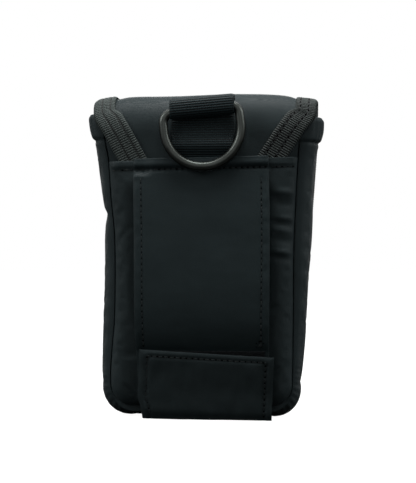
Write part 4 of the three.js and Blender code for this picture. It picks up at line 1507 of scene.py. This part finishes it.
# Lamps: name, place, the place that it faces, width and height, and power
LAMPS = [
    ("lamp_top", (0.00, 0.06, 0.80), (0, 0, 0.1), (0.45, 0.35), 12.8),
    ("lamp_left", (0.9, 0.38, 0.70), (0, 0, 0.09), (0.5, 0.5), 10.4),
    ("lamp_right", (-0.9, 0.18, 0.70), (0, 0, 0.09), (0.5, 0.5), 8.5),
    ("lamp_front", (0.2, -1.2, 0.5), (0, 0, 0.08), (0.8, 0.8), 5.0),
    ("lamp_back", (-0.1, 1.3, 0.40), (0, 0, 0.08), (0.6, 0.6), 1.6),
]


def make_studio():
    scene = bpy.context.scene
    scene.view_settings.view_transform = "Standard"
    scene.world = bpy.data.worlds.new("studio")
    air = Graph(scene.world)
    air.tree.nodes.clear()
    white = air.node("ShaderNodeBackground", {"Color": (1, 1, 1, 1), "Strength": 1.0})
    light = air.node("ShaderNodeBackground", {"Color": (0.97, 0.99, 1, 1), "Strength": WORLD_LIGHT})
    shown = air.seen_by("Camera", "Glossy", "Transmission")
    mixed = air.node("ShaderNodeMixShader", {"Fac": shown, 1: light, 2: white})
    air.join(mixed, air.tree.nodes.new("ShaderNodeOutputWorld").inputs["Surface"])

    shape = bmesh.new()
    bmesh.ops.create_grid(shape, x_segments=1, y_segments=1, size=3.0)
    shaped("studio_floor", shape, floor_finish())

    for name, place, target, size, power in LAMPS:
        lamp = bpy.data.lights.new(name, "AREA")
        lamp.shape = "RECTANGLE"
        lamp.size, lamp.size_y = size
        lamp.energy = power
        holder = bpy.data.objects.new(name, lamp)
        holder.location = place
        holder.rotation_euler = (Vector(target) - Vector(place)).to_track_quat("-Z", "Y").to_euler()
        bpy.context.collection.objects.link(holder)


def floor_finish():
    """White where the camera sees it, with the object's shadow kept, and grey to all other rays."""
    ground = Finish("studio_floor")
    out = ground.tree.nodes["Material Output"]
    ground.tree.nodes.remove(ground.shader)
    pale = ground.node("ShaderNodeBsdfDiffuse", {"Color": (0.05, 0.05, 0.05, 1)})
    glow = ground.node("ShaderNodeEmission", {"Color": (1, 1, 1, 1), "Strength": 1.15})
    white = ground.node("ShaderNodeBsdfDiffuse", {"Color": (0.9, 0.9, 0.9, 1)})
    shown = ground.node("ShaderNodeMixShader", {"Fac": 0.15, 1: glow, 2: white})
    mixed = ground.node("ShaderNodeMixShader", {"Fac": ground.seen_by("Camera"), 1: pale, 2: shown})
    ground.join(mixed, out.inputs["Surface"])
    return ground.material


def make_camera():
    camera = bpy.data.cameras.new("camera")
    camera.lens = CAMERA_LENS
    camera.sensor_width = 36
    camera.clip_start = 0.01
    holder = bpy.data.objects.new("camera", camera)
    bpy.context.collection.objects.link(holder)
    way = Vector((-math.sin(CAMERA_TURN), math.cos(CAMERA_TURN), 0))
    holder.location = VIEW_MIDDLE + way * CAMERA_REACH
    holder.rotation_euler = (-way).to_track_quat("-Z", "Y").to_euler()
    bpy.context.scene.camera = holder


make_camera()
make_studio()
make_gusset()
make_back_cover()
make_back_shell()
make_front_cover()
make_inside()
make_flap()
make_flap_tapes()
make_mouth_binding()
make_webbing()
make_loop()
make_ring()
make_strap()
make_tab()
make_patches()
